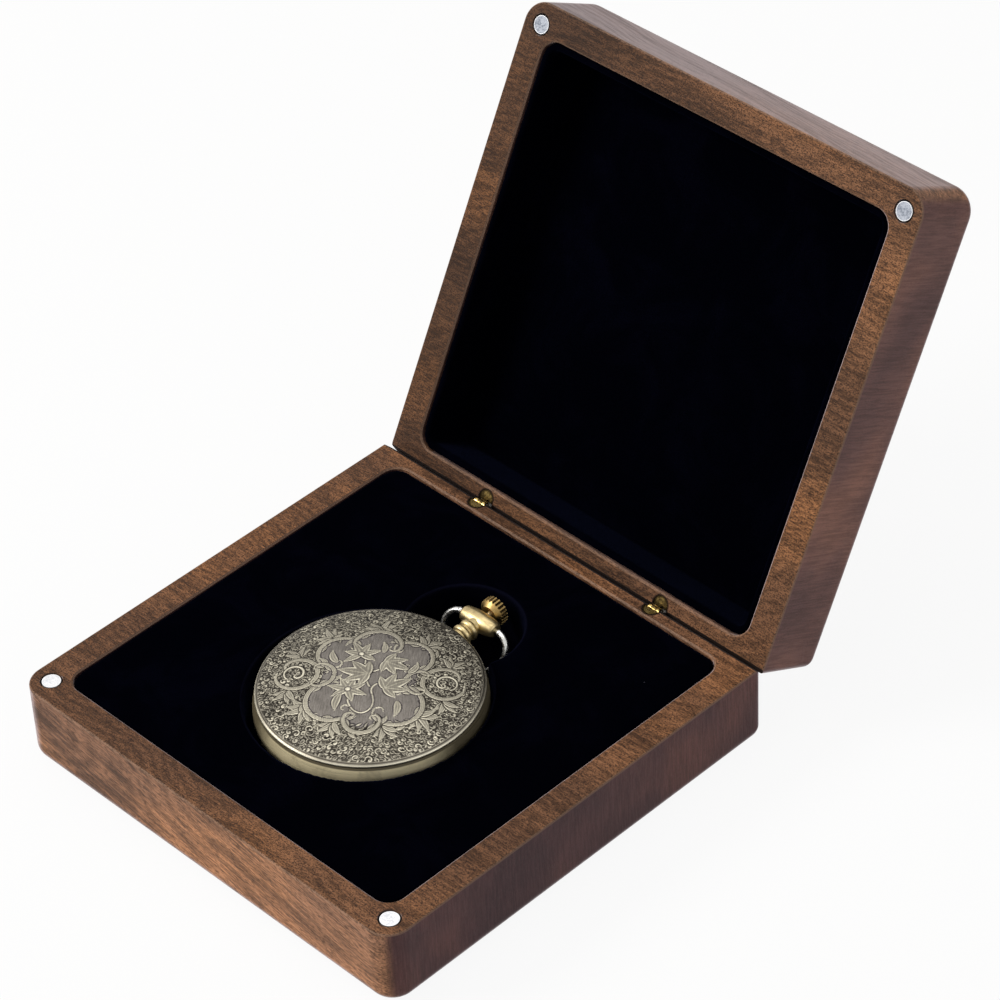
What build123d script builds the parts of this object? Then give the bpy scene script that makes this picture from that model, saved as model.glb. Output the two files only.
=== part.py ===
from build123d import *
import os
from math import cos, pi, radians, sin

os.makedirs("parts", exist_ok=True)

# Wooden box, modelled standing on its base with the lid laid back on its hinges.
# Origin: centre of the base's underside.  +Z up, front at -Y, hinges at +Y.
box_width = 108.0
box_depth = 104.8
base_height = 18.9
lid_height = 18.9
side_wall = 6.7
front_wall = 6.7
hinge_wall = 4.7
well_foam = 0.3
lid_roof = 4.9
front_corner = 5.3
back_corner = 2.2
opening_corner = 4.0
base_round = 3.2
lid_round = 3.2
rim_round = 0.4
opening_ease = 0.35
base_bevel = 2.1
lid_bevel = 1.7
bevel_round = 1.5

# Lid hinge: one axis, just inside the back face and just under the rim.
lid_open_angle = 117.7
hinge_inset = 1.15
hinge_drop = 1.1
hinge_spacing = 50.6
barrel_radius = 1.9
barrel_fit = 0.05
barrel_length = 9.0
barrel_recess = 0.15
barrel_inset = 2.2
knuckle_radius = 0.85
knuckle_width = 0.8
tongue_width = 1.1
tongue_thickness = 1.0
tongue_lean = 115.0
tongue_reach = 3.0
hinge_gap = 0.15
hinge_pin_radius = 0.4
pin_fit = 0.03

# Round closing magnets, a pair in each front rim.
magnet_radius = 2.1
magnet_height = 3.0
magnet_ring = 0.28
magnet_recess = 0.15
magnet_side_inset = 4.6
magnet_front_inset = 4.9

# Velvet-covered insert in the base and lined tray in the lid.
insert_gap = 0.15
velvet = 0.7
pad_drop = 0.2
pad_round = 0.6
velvet_skirt = 4.0
nest_x = 0.5
nest_y = -6.5
nest_room = 1.2
watch_rise = 1.6
well_side_room = 3.9
well_under_room = 0.25
well_set_back = 4.5
well_shift = -0.3
nest_edge_round = 0.5
tray_wall = 0.9
tray_roof = 1.2
tray_drop = 0.5

# Pocket watch lying in the nest, its crown turned a little off the hinge side.
watch_shift = 0.9
watch_turn = 1.7
case_radius = 24.0
case_wall = 3.1
case_height = 7.4
case_bulge = 0.7
back_height = 2.6
back_flat = 12.0
back_step = 0.5
shell = 0.7
cover_edge = 1.0
cover_dome = 2.1
cover_inset = 0.6
cover_rim = 0.7
cover_gap = 0.3
cover_gap_depth = 0.4
cover_seat = 2.4
cover_pin_radius = 0.5
cover_pin_length = 7.0
cover_pin_inset = 1.7

# Dial side of the watch, under the cover.
bezel_width = 1.5
bezel_ledge = 0.75
fit = 0.05
crystal_edge = 0.6
crystal_dome = 0.7
dial_drop = 2.0
dial_thickness = 0.4
arbor_radius = 0.4
arbor_hole = 0.2
hand_thickness = 0.2
hand_pitch = 0.4
hand_lift = 0.3
hand_fit = 0.05
hand_hub = 0.6
minute_margin = 3.1
minute_width = 1.1
minute_angle = 60.0
hour_length = 10.5
hour_width = 1.6
hour_angle = 305.0
second_margin = 2.1
second_tail = 5.0
second_width = 0.35
second_angle = 180.0

# Works under the dial.
movement_radius = 13.0
movement_height = 3.4
spring_room = 1.3
battery_radius = 4.75
battery_height = 1.6
battery_sink = 1.0
battery_offset = 6.5
spring_thickness = 0.35
spring_height = 2.6
lift_spring_arc = 110.0
latch_spring_arc = 70.0

# Pendant, stem, crown and bow.
stem_drop = 3.5
neck_tube_radius = 1.6
neck_tube_fit = 0.02
neck_radius = 1.75
neck_ring_radius = 2.35
neck_ring_length = 1.65
neck_groove = 0.35
neck_rings = 2
neck_gap = 0.1
neck_length = 7.75
ball_radius = 2.2
ball_end_radius = 1.6
ball_end_round = 0.8
ball_width = 9.2
crown_radius = 3.1
crown_length = 3.2
crown_gap = 0.45
crown_skirt = 1.0
crown_skirt_radius = 2.0
crown_dome = 0.7
crown_flutes = 22
flute_radius = 0.27
stem_radius = 0.55
stem_fit = 0.06
stem_square = 0.76
stem_end_room = 0.6
stem_square_length = 5.0
pinion_radius = 0.9
pinion_room = 0.1
pinion_length = 1.8
pinion_set_back = 1.0
bow_wire = 0.65
bow_foot_radius = 0.5
bow_foot_depth = 1.2
bow_knob = 0.75
bow_half_width = 8.6
bow_arch_share = 0.95
bow_arch_start = 5.4
bow_length = 10.4
bow_lean = 122.0

# Places that follow from the sizes above.
rim_z = base_height
hinge_y = box_depth / 2 - hinge_inset
hinge_z = rim_z - hinge_drop
barrel_y = box_depth / 2 - barrel_inset
magnet_x = box_width / 2 - magnet_side_inset
magnet_y = magnet_front_inset - box_depth / 2
hinge_places = [(-hinge_spacing / 2, barrel_y), (hinge_spacing / 2, barrel_y)]
magnet_places = [(-magnet_x, magnet_y), (magnet_x, magnet_y)]
ear_half = tongue_width / 2 + hinge_gap + knuckle_width
opening_width = box_width - 2 * side_wall
opening_depth = box_depth - front_wall - hinge_wall
opening_y = (front_wall - hinge_wall) / 2

pad_z = rim_z - pad_drop
case_top_z = pad_z + watch_rise
case_low_z = case_top_z - case_height
nest_floor_z = case_low_z - back_height
nest_radius = case_radius + nest_room
watch_x = nest_x + watch_shift
watch_y = nest_y
case_bore = case_radius - case_wall
dial_z = case_top_z - dial_drop
spacer_radius = case_bore - spring_room
spacer_z = dial_z - dial_thickness - movement_height
bezel_radius = case_bore - fit
crystal_radius = bezel_radius - bezel_width
dial_window = crystal_radius - bezel_ledge
stem_z = case_top_z - stem_drop
stem_depth = movement_radius + stem_end_room
pinion_place = stem_depth + pinion_set_back
spring_z = dial_z - dial_thickness - fit - spring_height
ball_offset = case_radius + neck_length
crown_start = ball_offset + ball_radius + crown_gap
crown_end = crown_start + crown_length

well_x = nest_x + well_shift
well_y = watch_y + ball_offset - well_set_back
well_radius = bow_half_width + well_side_room
well_floor_z = stem_z - bow_length - bow_wire - well_under_room
base_floor = well_floor_z - velvet - well_foam
lid_hollow = lid_height - lid_roof

# The lid's own frame: the closed lid's rim plane, turned back about the hinge axis.
turn = radians(-lid_open_angle)
lid_forward = (0, cos(turn), sin(turn))
lid_up = (0, -sin(turn), cos(turn))
lid_origin = (
    0,
    hinge_y - hinge_y * cos(turn) - hinge_drop * sin(turn),
    hinge_z - hinge_y * sin(turn) + hinge_drop * cos(turn),
)
base_rim = Plane(origin=(0, 0, rim_z), x_dir=(1, 0, 0), z_dir=(0, 0, 1))
base_side = Plane(origin=(0, 0, rim_z), x_dir=(0, 1, 0), z_dir=(1, 0, 0))
lid_rim = Plane(origin=lid_origin, x_dir=(1, 0, 0), z_dir=lid_up)
lid_side = Plane(origin=lid_origin, x_dir=lid_forward, z_dir=(1, 0, 0))

# The watch's own frame: its centre line, and the line from its centre to its crown.
watch_right = (cos(radians(watch_turn)), sin(radians(watch_turn)), 0)
watch_ahead = (-sin(radians(watch_turn)), cos(radians(watch_turn)), 0)
watch_back = (sin(radians(watch_turn)), -cos(radians(watch_turn)), 0)
watch_flat = Plane(origin=(watch_x, watch_y, 0), x_dir=watch_right, z_dir=(0, 0, 1))
watch_cut = Plane(origin=(watch_x, watch_y, 0), x_dir=watch_right, z_dir=watch_back)
watch_axis = Axis((watch_x, watch_y, 0), (0, 0, 1))
stem_flat = watch_flat.offset(stem_z)
stem_end = Plane(origin=(watch_x, watch_y, stem_z), x_dir=(0, 0, 1), z_dir=watch_ahead)
stem_axis = Axis((watch_x, watch_y, stem_z), watch_ahead)
ball_centre = stem_flat.from_local_coords((0, ball_offset, 0))
ball_side = Plane(origin=ball_centre, x_dir=watch_ahead, z_dir=watch_right)
ball_flat = Plane(origin=ball_centre, x_dir=watch_right, z_dir=(0, 0, 1))
ball_axis = Axis(ball_centre, watch_right)


def bevel_outline(up, inset):
    # Everything past the hinge-side bevel, which ends in a rounded corner on the back face.
    back = box_depth / 2
    bevel = base_bevel if up < 0 else lid_bevel
    cut = bevel_round * sin(pi / 8) / cos(pi / 8)
    run = cut * sin(pi / 4)
    on_bevel = (back - run - inset, up * (bevel - run))
    on_back = (back - inset, up * (bevel + cut))
    with BuildSketch() as outline:
        with BuildLine():
            Line((back - bevel - inset - 1, -up), on_bevel)
            TangentArc(on_bevel, on_back, tangent=(1, up))
            Polyline(on_back, (back + 1, up * (bevel + cut)), (back + 1, -up))
            Line((back + 1, -up), (back - bevel - inset - 1, -up))
        make_face()
    return outline.sketch


def box_half(rim, side, up, height, solid_depth, edge_round):
    # One half of the box: a block hollowed from its rim, its hinge-side rim bevelled.
    inward = Axis(rim.origin, Vector(*rim.z_dir) * up)
    with BuildPart() as half:
        with BuildSketch(rim):
            Rectangle(box_width, box_depth)
            fillet(vertices().group_by(Axis.Y)[0], front_corner)
            fillet(vertices().group_by(Axis.Y)[-1], back_corner)
        extrude(amount=up * height)
        fillet(half.faces().sort_by(inward)[-1].edges(), edge_round)
        fillet(half.faces().sort_by(inward)[0].edges(), rim_round)
        with BuildSketch(rim):
            with Locations((0, opening_y)):
                Rectangle(opening_width, opening_depth)
            fillet(vertices(), opening_corner)
        extrude(amount=up * (height - solid_depth), mode=Mode.SUBTRACT)
        chamfer(half.faces().sort_by(inward)[0].inner_wires()[0].edges(), opening_ease)
        with BuildSketch(side.offset(-box_width)):
            add(bevel_outline(up, 0))
        extrude(amount=2 * box_width, mode=Mode.SUBTRACT)
        with BuildSketch(rim):
            with Locations(*hinge_places):
                Circle(barrel_radius + barrel_fit)
        extrude(amount=up * (barrel_length + barrel_recess), mode=Mode.SUBTRACT)
        with BuildSketch(rim):
            with Locations(*magnet_places):
                Circle(magnet_radius + magnet_ring)
        extrude(amount=up * (magnet_height + magnet_recess), mode=Mode.SUBTRACT)
    return half.part


def barrel_pair(rim, side, up):
    # Two round hinge barrels, their tops bevelled with the wood.
    with BuildPart() as pair:
        with BuildSketch(rim.offset(up * barrel_recess)):
            with Locations(*hinge_places):
                Circle(barrel_radius)
        extrude(amount=up * barrel_length)
        with BuildSketch(side.offset(-box_width)):
            add(bevel_outline(up, barrel_recess))
        extrude(amount=2 * box_width, mode=Mode.SUBTRACT)
    return pair.part


def magnet_pair(rim, up):
    with BuildPart() as pair:
        with BuildSketch(rim.offset(up * magnet_recess)):
            with Locations(*magnet_places):
                Circle(magnet_radius)
        extrude(amount=up * magnet_height)
        chamfer(pair.faces().filter_by(GeomType.PLANE).edges(), magnet_ring / 2)
    return pair.part


def tongue_outline(thickness, eye):
    # The lid's hinge tongue and its eye round the pin, drawn for the closed lid.
    with BuildSketch() as outline:
        with Locations((hinge_y, -hinge_drop)):
            Circle(eye)
            with Locations(Rotation(0, 0, tongue_lean)):
                Rectangle(tongue_reach, thickness, align=(Align.MIN, Align.CENTER))
    return outline.sketch


def export(piece, label):
    piece.part.label = label
    export_step(piece.part, "parts/" + label + ".step")


# Base and lid shells.
with BuildPart() as walnut_base:
    add(box_half(base_rim, base_side, -1, base_height, base_floor, base_round))
    for x, y in hinge_places:
        with BuildSketch(base_side.offset(x)):
            with Locations((hinge_y, -hinge_drop)):
                Circle(knuckle_radius + hinge_gap)
        extrude(amount=ear_half + hinge_gap, both=True, mode=Mode.SUBTRACT)
export(walnut_base, "walnut_base")

with BuildPart() as walnut_lid:
    add(box_half(lid_rim, lid_side, 1, lid_height, lid_roof, lid_round))
export(walnut_lid, "walnut_lid")

# Hinge barrels: two ears on each base barrel, one tongue between them on each lid barrel.
with BuildPart() as base_hinge_barrels:
    add(barrel_pair(base_rim, base_side, -1))
    for x, y in hinge_places:
        with BuildSketch(base_side.offset(x)):
            with Locations((hinge_y, -hinge_drop)):
                Circle(knuckle_radius)
        extrude(amount=ear_half, both=True)
        with BuildSketch(base_side.offset(x)):
            add(tongue_outline(tongue_thickness + 2 * hinge_gap, knuckle_radius + hinge_gap))
        extrude(amount=tongue_width / 2 + hinge_gap, both=True, mode=Mode.SUBTRACT)
        with BuildSketch(base_side.offset(x)):
            with Locations((hinge_y, -hinge_drop)):
                Circle(hinge_pin_radius + pin_fit)
        extrude(amount=ear_half, both=True, mode=Mode.SUBTRACT)
export(base_hinge_barrels, "base_hinge_barrels")

with BuildPart() as lid_hinge_barrels:
    add(barrel_pair(lid_rim, lid_side, 1))
    for x, y in hinge_places:
        with BuildSketch(lid_side.offset(x)):
            add(tongue_outline(tongue_thickness, knuckle_radius))
        extrude(amount=tongue_width / 2, both=True)
        with BuildSketch(lid_side.offset(x)):
            with Locations((hinge_y, -hinge_drop)):
                Circle(hinge_pin_radius + 2 * pin_fit)
        extrude(amount=tongue_width, both=True, mode=Mode.SUBTRACT)
export(lid_hinge_barrels, "lid_hinge_barrels")

with BuildPart() as hinge_pins:
    for x, y in hinge_places:
        with BuildSketch(base_side.offset(x)):
            with Locations((hinge_y, -hinge_drop)):
                Circle(hinge_pin_radius)
        extrude(amount=ear_half, both=True)
export(hinge_pins, "hinge_pins")

# Magnets, two to a half.
with BuildPart() as base_magnets:
    add(magnet_pair(base_rim, -1))
export(base_magnets, "base_magnets")
with BuildPart() as lid_magnets:
    add(magnet_pair(lid_rim, 1))
export(lid_magnets, "lid_magnets")

# Foam insert with the round nest and the well for the bow.
with BuildPart() as insert_foam:
    with BuildSketch(Plane.XY.offset(base_floor)):
        with Locations((0, opening_y)):
            Rectangle(
                opening_width - 2 * (insert_gap + velvet),
                opening_depth - 2 * (insert_gap + velvet),
            )
        fillet(vertices(), opening_corner - insert_gap - velvet)
    extrude(amount=pad_z - velvet - base_floor)
    with BuildSketch(Plane.XY.offset(nest_floor_z - velvet)):
        with Locations((nest_x, nest_y)):
            Circle(nest_radius + velvet)
    extrude(amount=base_height, mode=Mode.SUBTRACT)
    with BuildSketch(Plane.XY.offset(well_floor_z - velvet)):
        with Locations((well_x, well_y)):
            Circle(well_radius + velvet)
    extrude(amount=base_height, mode=Mode.SUBTRACT)
export(insert_foam, "insert_foam")

# Velvet over the foam: a top with a short skirt, lining the nest and the well.
with BuildPart() as insert_velvet:
    with BuildSketch(Plane.XY.offset(pad_z - velvet_skirt)):
        with Locations((0, opening_y)):
            Rectangle(opening_width - 2 * insert_gap, opening_depth - 2 * insert_gap)
        fillet(vertices(), opening_corner - insert_gap)
    extrude(amount=velvet_skirt)
    fillet(insert_velvet.faces().sort_by(Axis.Z)[-1].edges(), pad_round)
    with BuildSketch(Plane.XY.offset(pad_z - velvet_skirt)):
        with Locations((0, opening_y)):
            Rectangle(
                opening_width - 2 * (insert_gap + velvet),
                opening_depth - 2 * (insert_gap + velvet),
            )
        fillet(vertices(), opening_corner - insert_gap - velvet)
    extrude(amount=velvet_skirt - velvet, mode=Mode.SUBTRACT)
    with BuildSketch(Plane.XY.offset(nest_floor_z - velvet)):
        with Locations((nest_x, nest_y)):
            Circle(nest_radius + velvet)
    extrude(amount=pad_z - nest_floor_z)
    with BuildSketch(Plane.XY.offset(well_floor_z - velvet)):
        with Locations((well_x, well_y)):
            Circle(well_radius + velvet)
    extrude(amount=pad_z - well_floor_z)
    with BuildSketch(Plane.XY.offset(nest_floor_z)):
        with Locations((nest_x, nest_y)):
            Circle(nest_radius)
    extrude(amount=base_height, mode=Mode.SUBTRACT)
    with BuildSketch(Plane.XY.offset(well_floor_z)):
        with Locations((well_x, well_y)):
            Circle(well_radius)
    extrude(amount=base_height, mode=Mode.SUBTRACT)
    fillet(insert_velvet.faces().sort_by(Axis.Z)[-1].inner_wires()[0].edges(), nest_edge_round)
export(insert_velvet, "insert_velvet")

# Lined tray in the lid: a board tray with velvet over its edge and inside.
with BuildPart() as lid_tray:
    with BuildSketch(lid_rim.offset(tray_drop + velvet)):
        with Locations((0, opening_y)):
            Rectangle(opening_width - 2 * insert_gap, opening_depth - 2 * insert_gap)
        fillet(vertices(), opening_corner - insert_gap)
    extrude(amount=lid_hollow - tray_drop - velvet)
    with BuildSketch(lid_rim):
        with Locations((0, opening_y)):
            Rectangle(
                opening_width - 2 * (insert_gap + tray_wall),
                opening_depth - 2 * (insert_gap + tray_wall),
            )
        fillet(vertices(), opening_corner - insert_gap - tray_wall)
    extrude(amount=lid_hollow - tray_roof, mode=Mode.SUBTRACT)
export(lid_tray, "lid_tray")

with BuildPart() as lid_velvet:
    with BuildSketch(lid_rim.offset(tray_drop)):
        with Locations((0, opening_y)):
            Rectangle(opening_width - 2 * insert_gap, opening_depth - 2 * insert_gap)
        fillet(vertices(), opening_corner - insert_gap)
    extrude(amount=velvet)
    with BuildSketch(lid_rim.offset(tray_drop)):
        with Locations((0, opening_y)):
            Rectangle(
                opening_width - 2 * (insert_gap + tray_wall),
                opening_depth - 2 * (insert_gap + tray_wall),
            )
        fillet(vertices(), opening_corner - insert_gap - tray_wall)
    extrude(amount=lid_hollow - tray_roof - tray_drop)
    with BuildSketch(lid_rim):
        with Locations((0, opening_y)):
            Rectangle(
                opening_width - 2 * (insert_gap + tray_wall + velvet),
                opening_depth - 2 * (insert_gap + tray_wall + velvet),
            )
        fillet(vertices(), opening_corner - insert_gap - tray_wall - velvet)
    extrude(amount=lid_hollow - tray_roof - velvet, mode=Mode.SUBTRACT)
    lip = lid_velvet.faces().sort_by(Axis(lid_origin, lid_up))[0]
    fillet(lip.edges(), nest_edge_round)
export(lid_velvet, "lid_velvet")

# Watch case: a ring with a bulging band, bored for the pendant tube and the cover pin.
pin_local = (0, -(case_radius - cover_pin_inset), case_top_z)
pin_plane = Plane(
    origin=watch_flat.from_local_coords(pin_local), x_dir=watch_ahead, z_dir=watch_right
)
with BuildPart() as watch_case:
    with BuildSketch(watch_cut):
        with BuildLine():
            low = (case_radius - case_bulge, case_low_z)
            high = (case_radius - case_bulge, case_top_z)
            ThreePointArc(low, (case_radius, (case_low_z + case_top_z) / 2), high)
            Polyline(high, (case_bore, case_top_z), (case_bore, case_low_z), low)
        make_face()
    revolve(axis=watch_axis)
    with BuildSketch(stem_end.offset(case_bore - 1)):
        Circle(neck_tube_radius + neck_tube_fit)
    extrude(amount=case_wall + 2, mode=Mode.SUBTRACT)
    with BuildSketch(pin_plane):
        Circle(cover_pin_radius + pin_fit)
    extrude(amount=cover_pin_length / 2, both=True, mode=Mode.SUBTRACT)
export(watch_case, "watch_case")

# Snap-on back: a shallow dish with a flat middle that the watch lies on.
with BuildPart() as watch_back_cover:
    with BuildSketch(watch_cut):
        with BuildLine():
            edge = case_radius - case_bulge - back_step / 2
            inner = edge - shell - back_step
            Line((0, nest_floor_z), (back_flat, nest_floor_z))
            TangentArc((back_flat, nest_floor_z), (edge, case_low_z - shell), tangent=(1, 0))
            Polyline((edge, case_low_z - shell), (edge, case_low_z), (inner, case_low_z))
            Line((inner, case_low_z), (inner, case_low_z - back_step))
            TangentArc((back_flat, nest_floor_z + shell), (inner, case_low_z - back_step), tangent=(1, 0))
            Polyline((back_flat, nest_floor_z + shell), (0, nest_floor_z + shell), (0, nest_floor_z))
        make_face()
    revolve(axis=watch_axis)
export(watch_back_cover, "watch_back_cover")

# Hunter cover: a thin dome with a rolled rim, undercut where it meets the case.
with BuildPart() as watch_front_cover:
    with BuildSketch(watch_cut):
        with BuildLine():
            edge = case_radius - cover_inset
            field = edge - cover_rim
            seat = case_radius - cover_seat
            edge_z = case_top_z + cover_edge
            peak_z = edge_z + cover_dome
            gap_z = case_top_z + cover_gap
            dome = TangentArc((0, peak_z), (field, edge_z), tangent=(1, 0))
            TangentArc((field, edge_z), (edge, gap_z), tangent=dome % 1)
            Polyline((edge, gap_z), (edge - cover_gap_depth, gap_z), (edge - cover_gap_depth, case_top_z))
            Polyline((edge - cover_gap_depth, case_top_z), (seat, case_top_z), (seat, gap_z))
            TangentArc((0, peak_z - shell), (seat, gap_z), tangent=(1, 0))
            Line((0, peak_z - shell), (0, peak_z))
        make_face()
    revolve(axis=watch_axis)
    with BuildSketch(pin_plane):
        Circle(cover_pin_radius + pin_fit)
    extrude(amount=cover_pin_length / 2, both=True, mode=Mode.SUBTRACT)
export(watch_front_cover, "watch_front_cover")

with BuildPart() as watch_cover_pin:
    with BuildSketch(pin_plane):
        Circle(cover_pin_radius)
    extrude(amount=cover_pin_length / 2, both=True)
export(watch_cover_pin, "watch_cover_pin")

# Bezel and domed crystal.
ledge_z = case_top_z - crystal_edge
with BuildPart() as watch_bezel:
    with BuildSketch(watch_cut):
        with BuildLine():
            Polyline(
                (bezel_radius, dial_z),
                (bezel_radius, case_top_z),
                (crystal_radius, case_top_z),
                (crystal_radius, ledge_z),
                (dial_window, ledge_z),
                (dial_window, dial_z),
                (bezel_radius, dial_z),
            )
        make_face()
    revolve(axis=watch_axis)
export(watch_bezel, "watch_bezel")

with BuildPart() as watch_crystal:
    with BuildSketch(watch_cut):
        with BuildLine():
            glass = crystal_radius - fit
            TangentArc((0, case_top_z + crystal_dome), (glass, case_top_z), tangent=(1, 0))
            Line((glass, case_top_z), (glass, ledge_z))
            TangentArc((0, ledge_z + crystal_dome), (glass - bezel_ledge, ledge_z), tangent=(1, 0))
            Line((glass - bezel_ledge, ledge_z), (glass, ledge_z))
            Line((0, ledge_z + crystal_dome), (0, case_top_z + crystal_dome))
        make_face()
    revolve(axis=watch_axis)
export(watch_crystal, "watch_crystal")

# Dial, movement and what the movement turns.
with BuildPart() as watch_dial:
    with BuildSketch(watch_flat.offset(dial_z - dial_thickness)):
        Circle(bezel_radius)
        Circle(arbor_radius + arbor_hole, mode=Mode.SUBTRACT)
    extrude(amount=dial_thickness)
export(watch_dial, "watch_dial")

arbor_height = hand_lift + 2 * hand_pitch + hand_thickness + hand_fit
with BuildPart() as watch_movement:
    with BuildSketch(watch_flat.offset(spacer_z)):
        Circle(movement_radius)
    extrude(amount=movement_height)
    with BuildSketch(watch_flat.offset(spacer_z + movement_height)):
        Circle(arbor_radius)
    extrude(amount=dial_thickness + arbor_height)
    with BuildSketch(watch_flat.offset(spacer_z)):
        with Locations((0, -battery_offset)):
            Circle(battery_radius + fit)
    extrude(amount=battery_sink, mode=Mode.SUBTRACT)
export(watch_movement, "watch_movement")

with BuildPart() as watch_battery:
    with BuildSketch(watch_flat.offset(spacer_z + battery_sink)):
        with Locations((0, -battery_offset)):
            Circle(battery_radius)
    extrude(amount=-battery_height)
export(watch_battery, "watch_battery")

with BuildPart() as watch_spacer:
    with BuildSketch(watch_flat.offset(spacer_z)):
        Circle(spacer_radius)
        Circle(movement_radius + fit, mode=Mode.SUBTRACT)
    extrude(amount=movement_height)
    with BuildSketch(stem_end.offset(movement_radius - 1)):
        Circle(stem_radius + stem_fit)
    extrude(amount=spacer_radius, mode=Mode.SUBTRACT)
    with BuildSketch(stem_end.offset(pinion_place - pinion_room)):
        Circle(pinion_radius + pinion_room)
    extrude(amount=pinion_length + 2 * pinion_room, mode=Mode.SUBTRACT)
export(watch_spacer, "watch_spacer")


def leaf_hand(level, length, width, tail, angle):
    # A flat hand on the arbor: a round hub, a pointed blade and, on the thin one, a tail.
    with BuildPart() as hand:
        with BuildSketch(watch_flat.offset(dial_z + hand_lift + level * hand_pitch)):
            Circle(arbor_radius + hand_fit + hand_hub)
            with Locations(Rotation(0, 0, -angle)):
                with BuildLine():
                    Polyline(
                        (0, -tail),
                        (width / 2, -tail / 2),
                        (width / 2, length / 2),
                        (0, length),
                        (-width / 2, length / 2),
                        (-width / 2, -tail / 2),
                        (0, -tail),
                    )
                make_face()
            Circle(arbor_radius + hand_fit, mode=Mode.SUBTRACT)
        extrude(amount=hand_thickness)
    return hand.part


with BuildPart() as watch_hour_hand:
    add(leaf_hand(0, hour_length, hour_width, hour_width, hour_angle))
export(watch_hour_hand, "watch_hour_hand")
with BuildPart() as watch_minute_hand:
    add(leaf_hand(1, dial_window - minute_margin, minute_width, minute_width, minute_angle))
export(watch_minute_hand, "watch_minute_hand")
with BuildPart() as watch_second_hand:
    add(leaf_hand(2, dial_window - second_margin, second_width, second_tail, second_angle))
export(watch_second_hand, "watch_second_hand")


def case_spring(facing, arc):
    # A flat spring bent along the inside of the case.
    with BuildPart() as spring:
        with BuildSketch(watch_flat.offset(spring_z)):
            with BuildLine():
                outer = case_bore - fit
                inner = outer - spring_thickness
                first = facing - arc / 2
                CenterArc((0, 0), outer, first, arc)
                CenterArc((0, 0), inner, first, arc)
                Line(
                    (inner * cos(radians(first)), inner * sin(radians(first))),
                    (outer * cos(radians(first)), outer * sin(radians(first))),
                )
                Line(
                    (inner * cos(radians(first + arc)), inner * sin(radians(first + arc))),
                    (outer * cos(radians(first + arc)), outer * sin(radians(first + arc))),
                )
            make_face()
        extrude(amount=spring_height)
    return spring.part


with BuildPart() as watch_lift_spring:
    add(case_spring(270, lift_spring_arc))
export(watch_lift_spring, "watch_lift_spring")
with BuildPart() as watch_latch_spring:
    add(case_spring(90, latch_spring_arc))
    with BuildSketch(stem_end.offset(spacer_radius)):
        Circle(stem_radius + 2 * stem_fit)
    extrude(amount=case_wall + 2, mode=Mode.SUBTRACT)
export(watch_latch_spring, "watch_latch_spring")

# Pendant: a tube through the case, a ringed neck and a cross-wise ball for the bow.
with BuildPart() as watch_pendant:
    with BuildSketch(stem_flat):
        with BuildLine():
            neck_start = case_radius + neck_gap
            neck_end = ball_offset
            ring_pitch = neck_ring_length + neck_groove
            first_ring = ball_offset - ball_radius - neck_rings * ring_pitch
            tube_start = case_bore + fit
            Polyline((0, tube_start), (neck_tube_radius, tube_start), (neck_tube_radius, neck_start))
            Polyline((neck_tube_radius, neck_start), (neck_radius, neck_start), (neck_radius, first_ring))
            for step in range(neck_rings):
                at = first_ring + step * ring_pitch
                far = at + neck_ring_length
                ThreePointArc((neck_radius, at), (neck_ring_radius, (at + far) / 2), (neck_radius, far))
                Line((neck_radius, far), (neck_radius, at + ring_pitch))
            Polyline((neck_radius, neck_end - ball_radius), (neck_radius, neck_end), (0, neck_end))
            Line((0, neck_end), (0, tube_start))
        make_face()
    revolve(axis=stem_axis)
    with BuildSketch(ball_flat):
        with BuildLine():
            half = ball_width / 2
            ThreePointArc((-half, ball_end_radius), (0, ball_radius), (half, ball_end_radius))
            Polyline(
                (half, ball_end_radius),
                (half, 0),
                (-half, 0),
                (-half, ball_end_radius),
            )
        make_face()
        fillet(vertices().group_by(Axis.Y)[-1], ball_end_round)
    revolve(axis=ball_axis)
    with BuildSketch(stem_end):
        Circle(stem_radius + stem_fit)
    extrude(amount=crown_end, mode=Mode.SUBTRACT)
    for end in (-1, 1):
        with BuildSketch(ball_side.offset(end * ball_width / 2)):
            Circle(bow_foot_radius + stem_fit)
        extrude(amount=-end * (bow_foot_depth + stem_fit), mode=Mode.SUBTRACT)
export(watch_pendant, "watch_pendant")

# Stem, square where it slides through the setting pinion, and the fluted crown on it.
with BuildPart() as watch_stem:
    with BuildSketch(stem_end.offset(stem_depth)):
        Rectangle(stem_square, stem_square)
    extrude(amount=stem_square_length)
    with BuildSketch(stem_end.offset(stem_depth + stem_square_length)):
        Circle(stem_radius)
    extrude(amount=crown_end - crown_dome - stem_depth - stem_square_length - 1)
export(watch_stem, "watch_stem")

with BuildPart() as watch_setting_pinion:
    with BuildSketch(stem_end.offset(pinion_place)):
        Circle(pinion_radius)
        Rectangle(stem_square + stem_fit, stem_square + stem_fit, mode=Mode.SUBTRACT)
    extrude(amount=pinion_length)
export(watch_setting_pinion, "watch_setting_pinion")

with BuildPart() as watch_crown:
    with BuildSketch(stem_flat):
        with BuildLine():
            shoulder = crown_end - crown_dome
            waist = crown_radius - 2 * flute_radius
            foot = crown_start + crown_skirt
            Polyline((0, crown_start), (crown_skirt_radius, crown_start), (crown_radius, foot))
            Polyline((crown_radius, foot), (crown_radius, shoulder), (waist, shoulder))
            TangentArc((0, crown_end), (waist, shoulder), tangent=(1, 0))
            Line((0, crown_end), (0, crown_start))
        make_face()
    revolve(axis=stem_axis)
    with BuildSketch(stem_end.offset(crown_start - 1)):
        with PolarLocations(crown_radius, crown_flutes, 180 / crown_flutes):
            Circle(flute_radius)
    extrude(amount=shoulder + 1 - crown_start, mode=Mode.SUBTRACT)
    with BuildSketch(stem_end):
        Circle(stem_radius)
    extrude(amount=crown_end - crown_dome - 1, mode=Mode.SUBTRACT)
export(watch_crown, "watch_crown")

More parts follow.
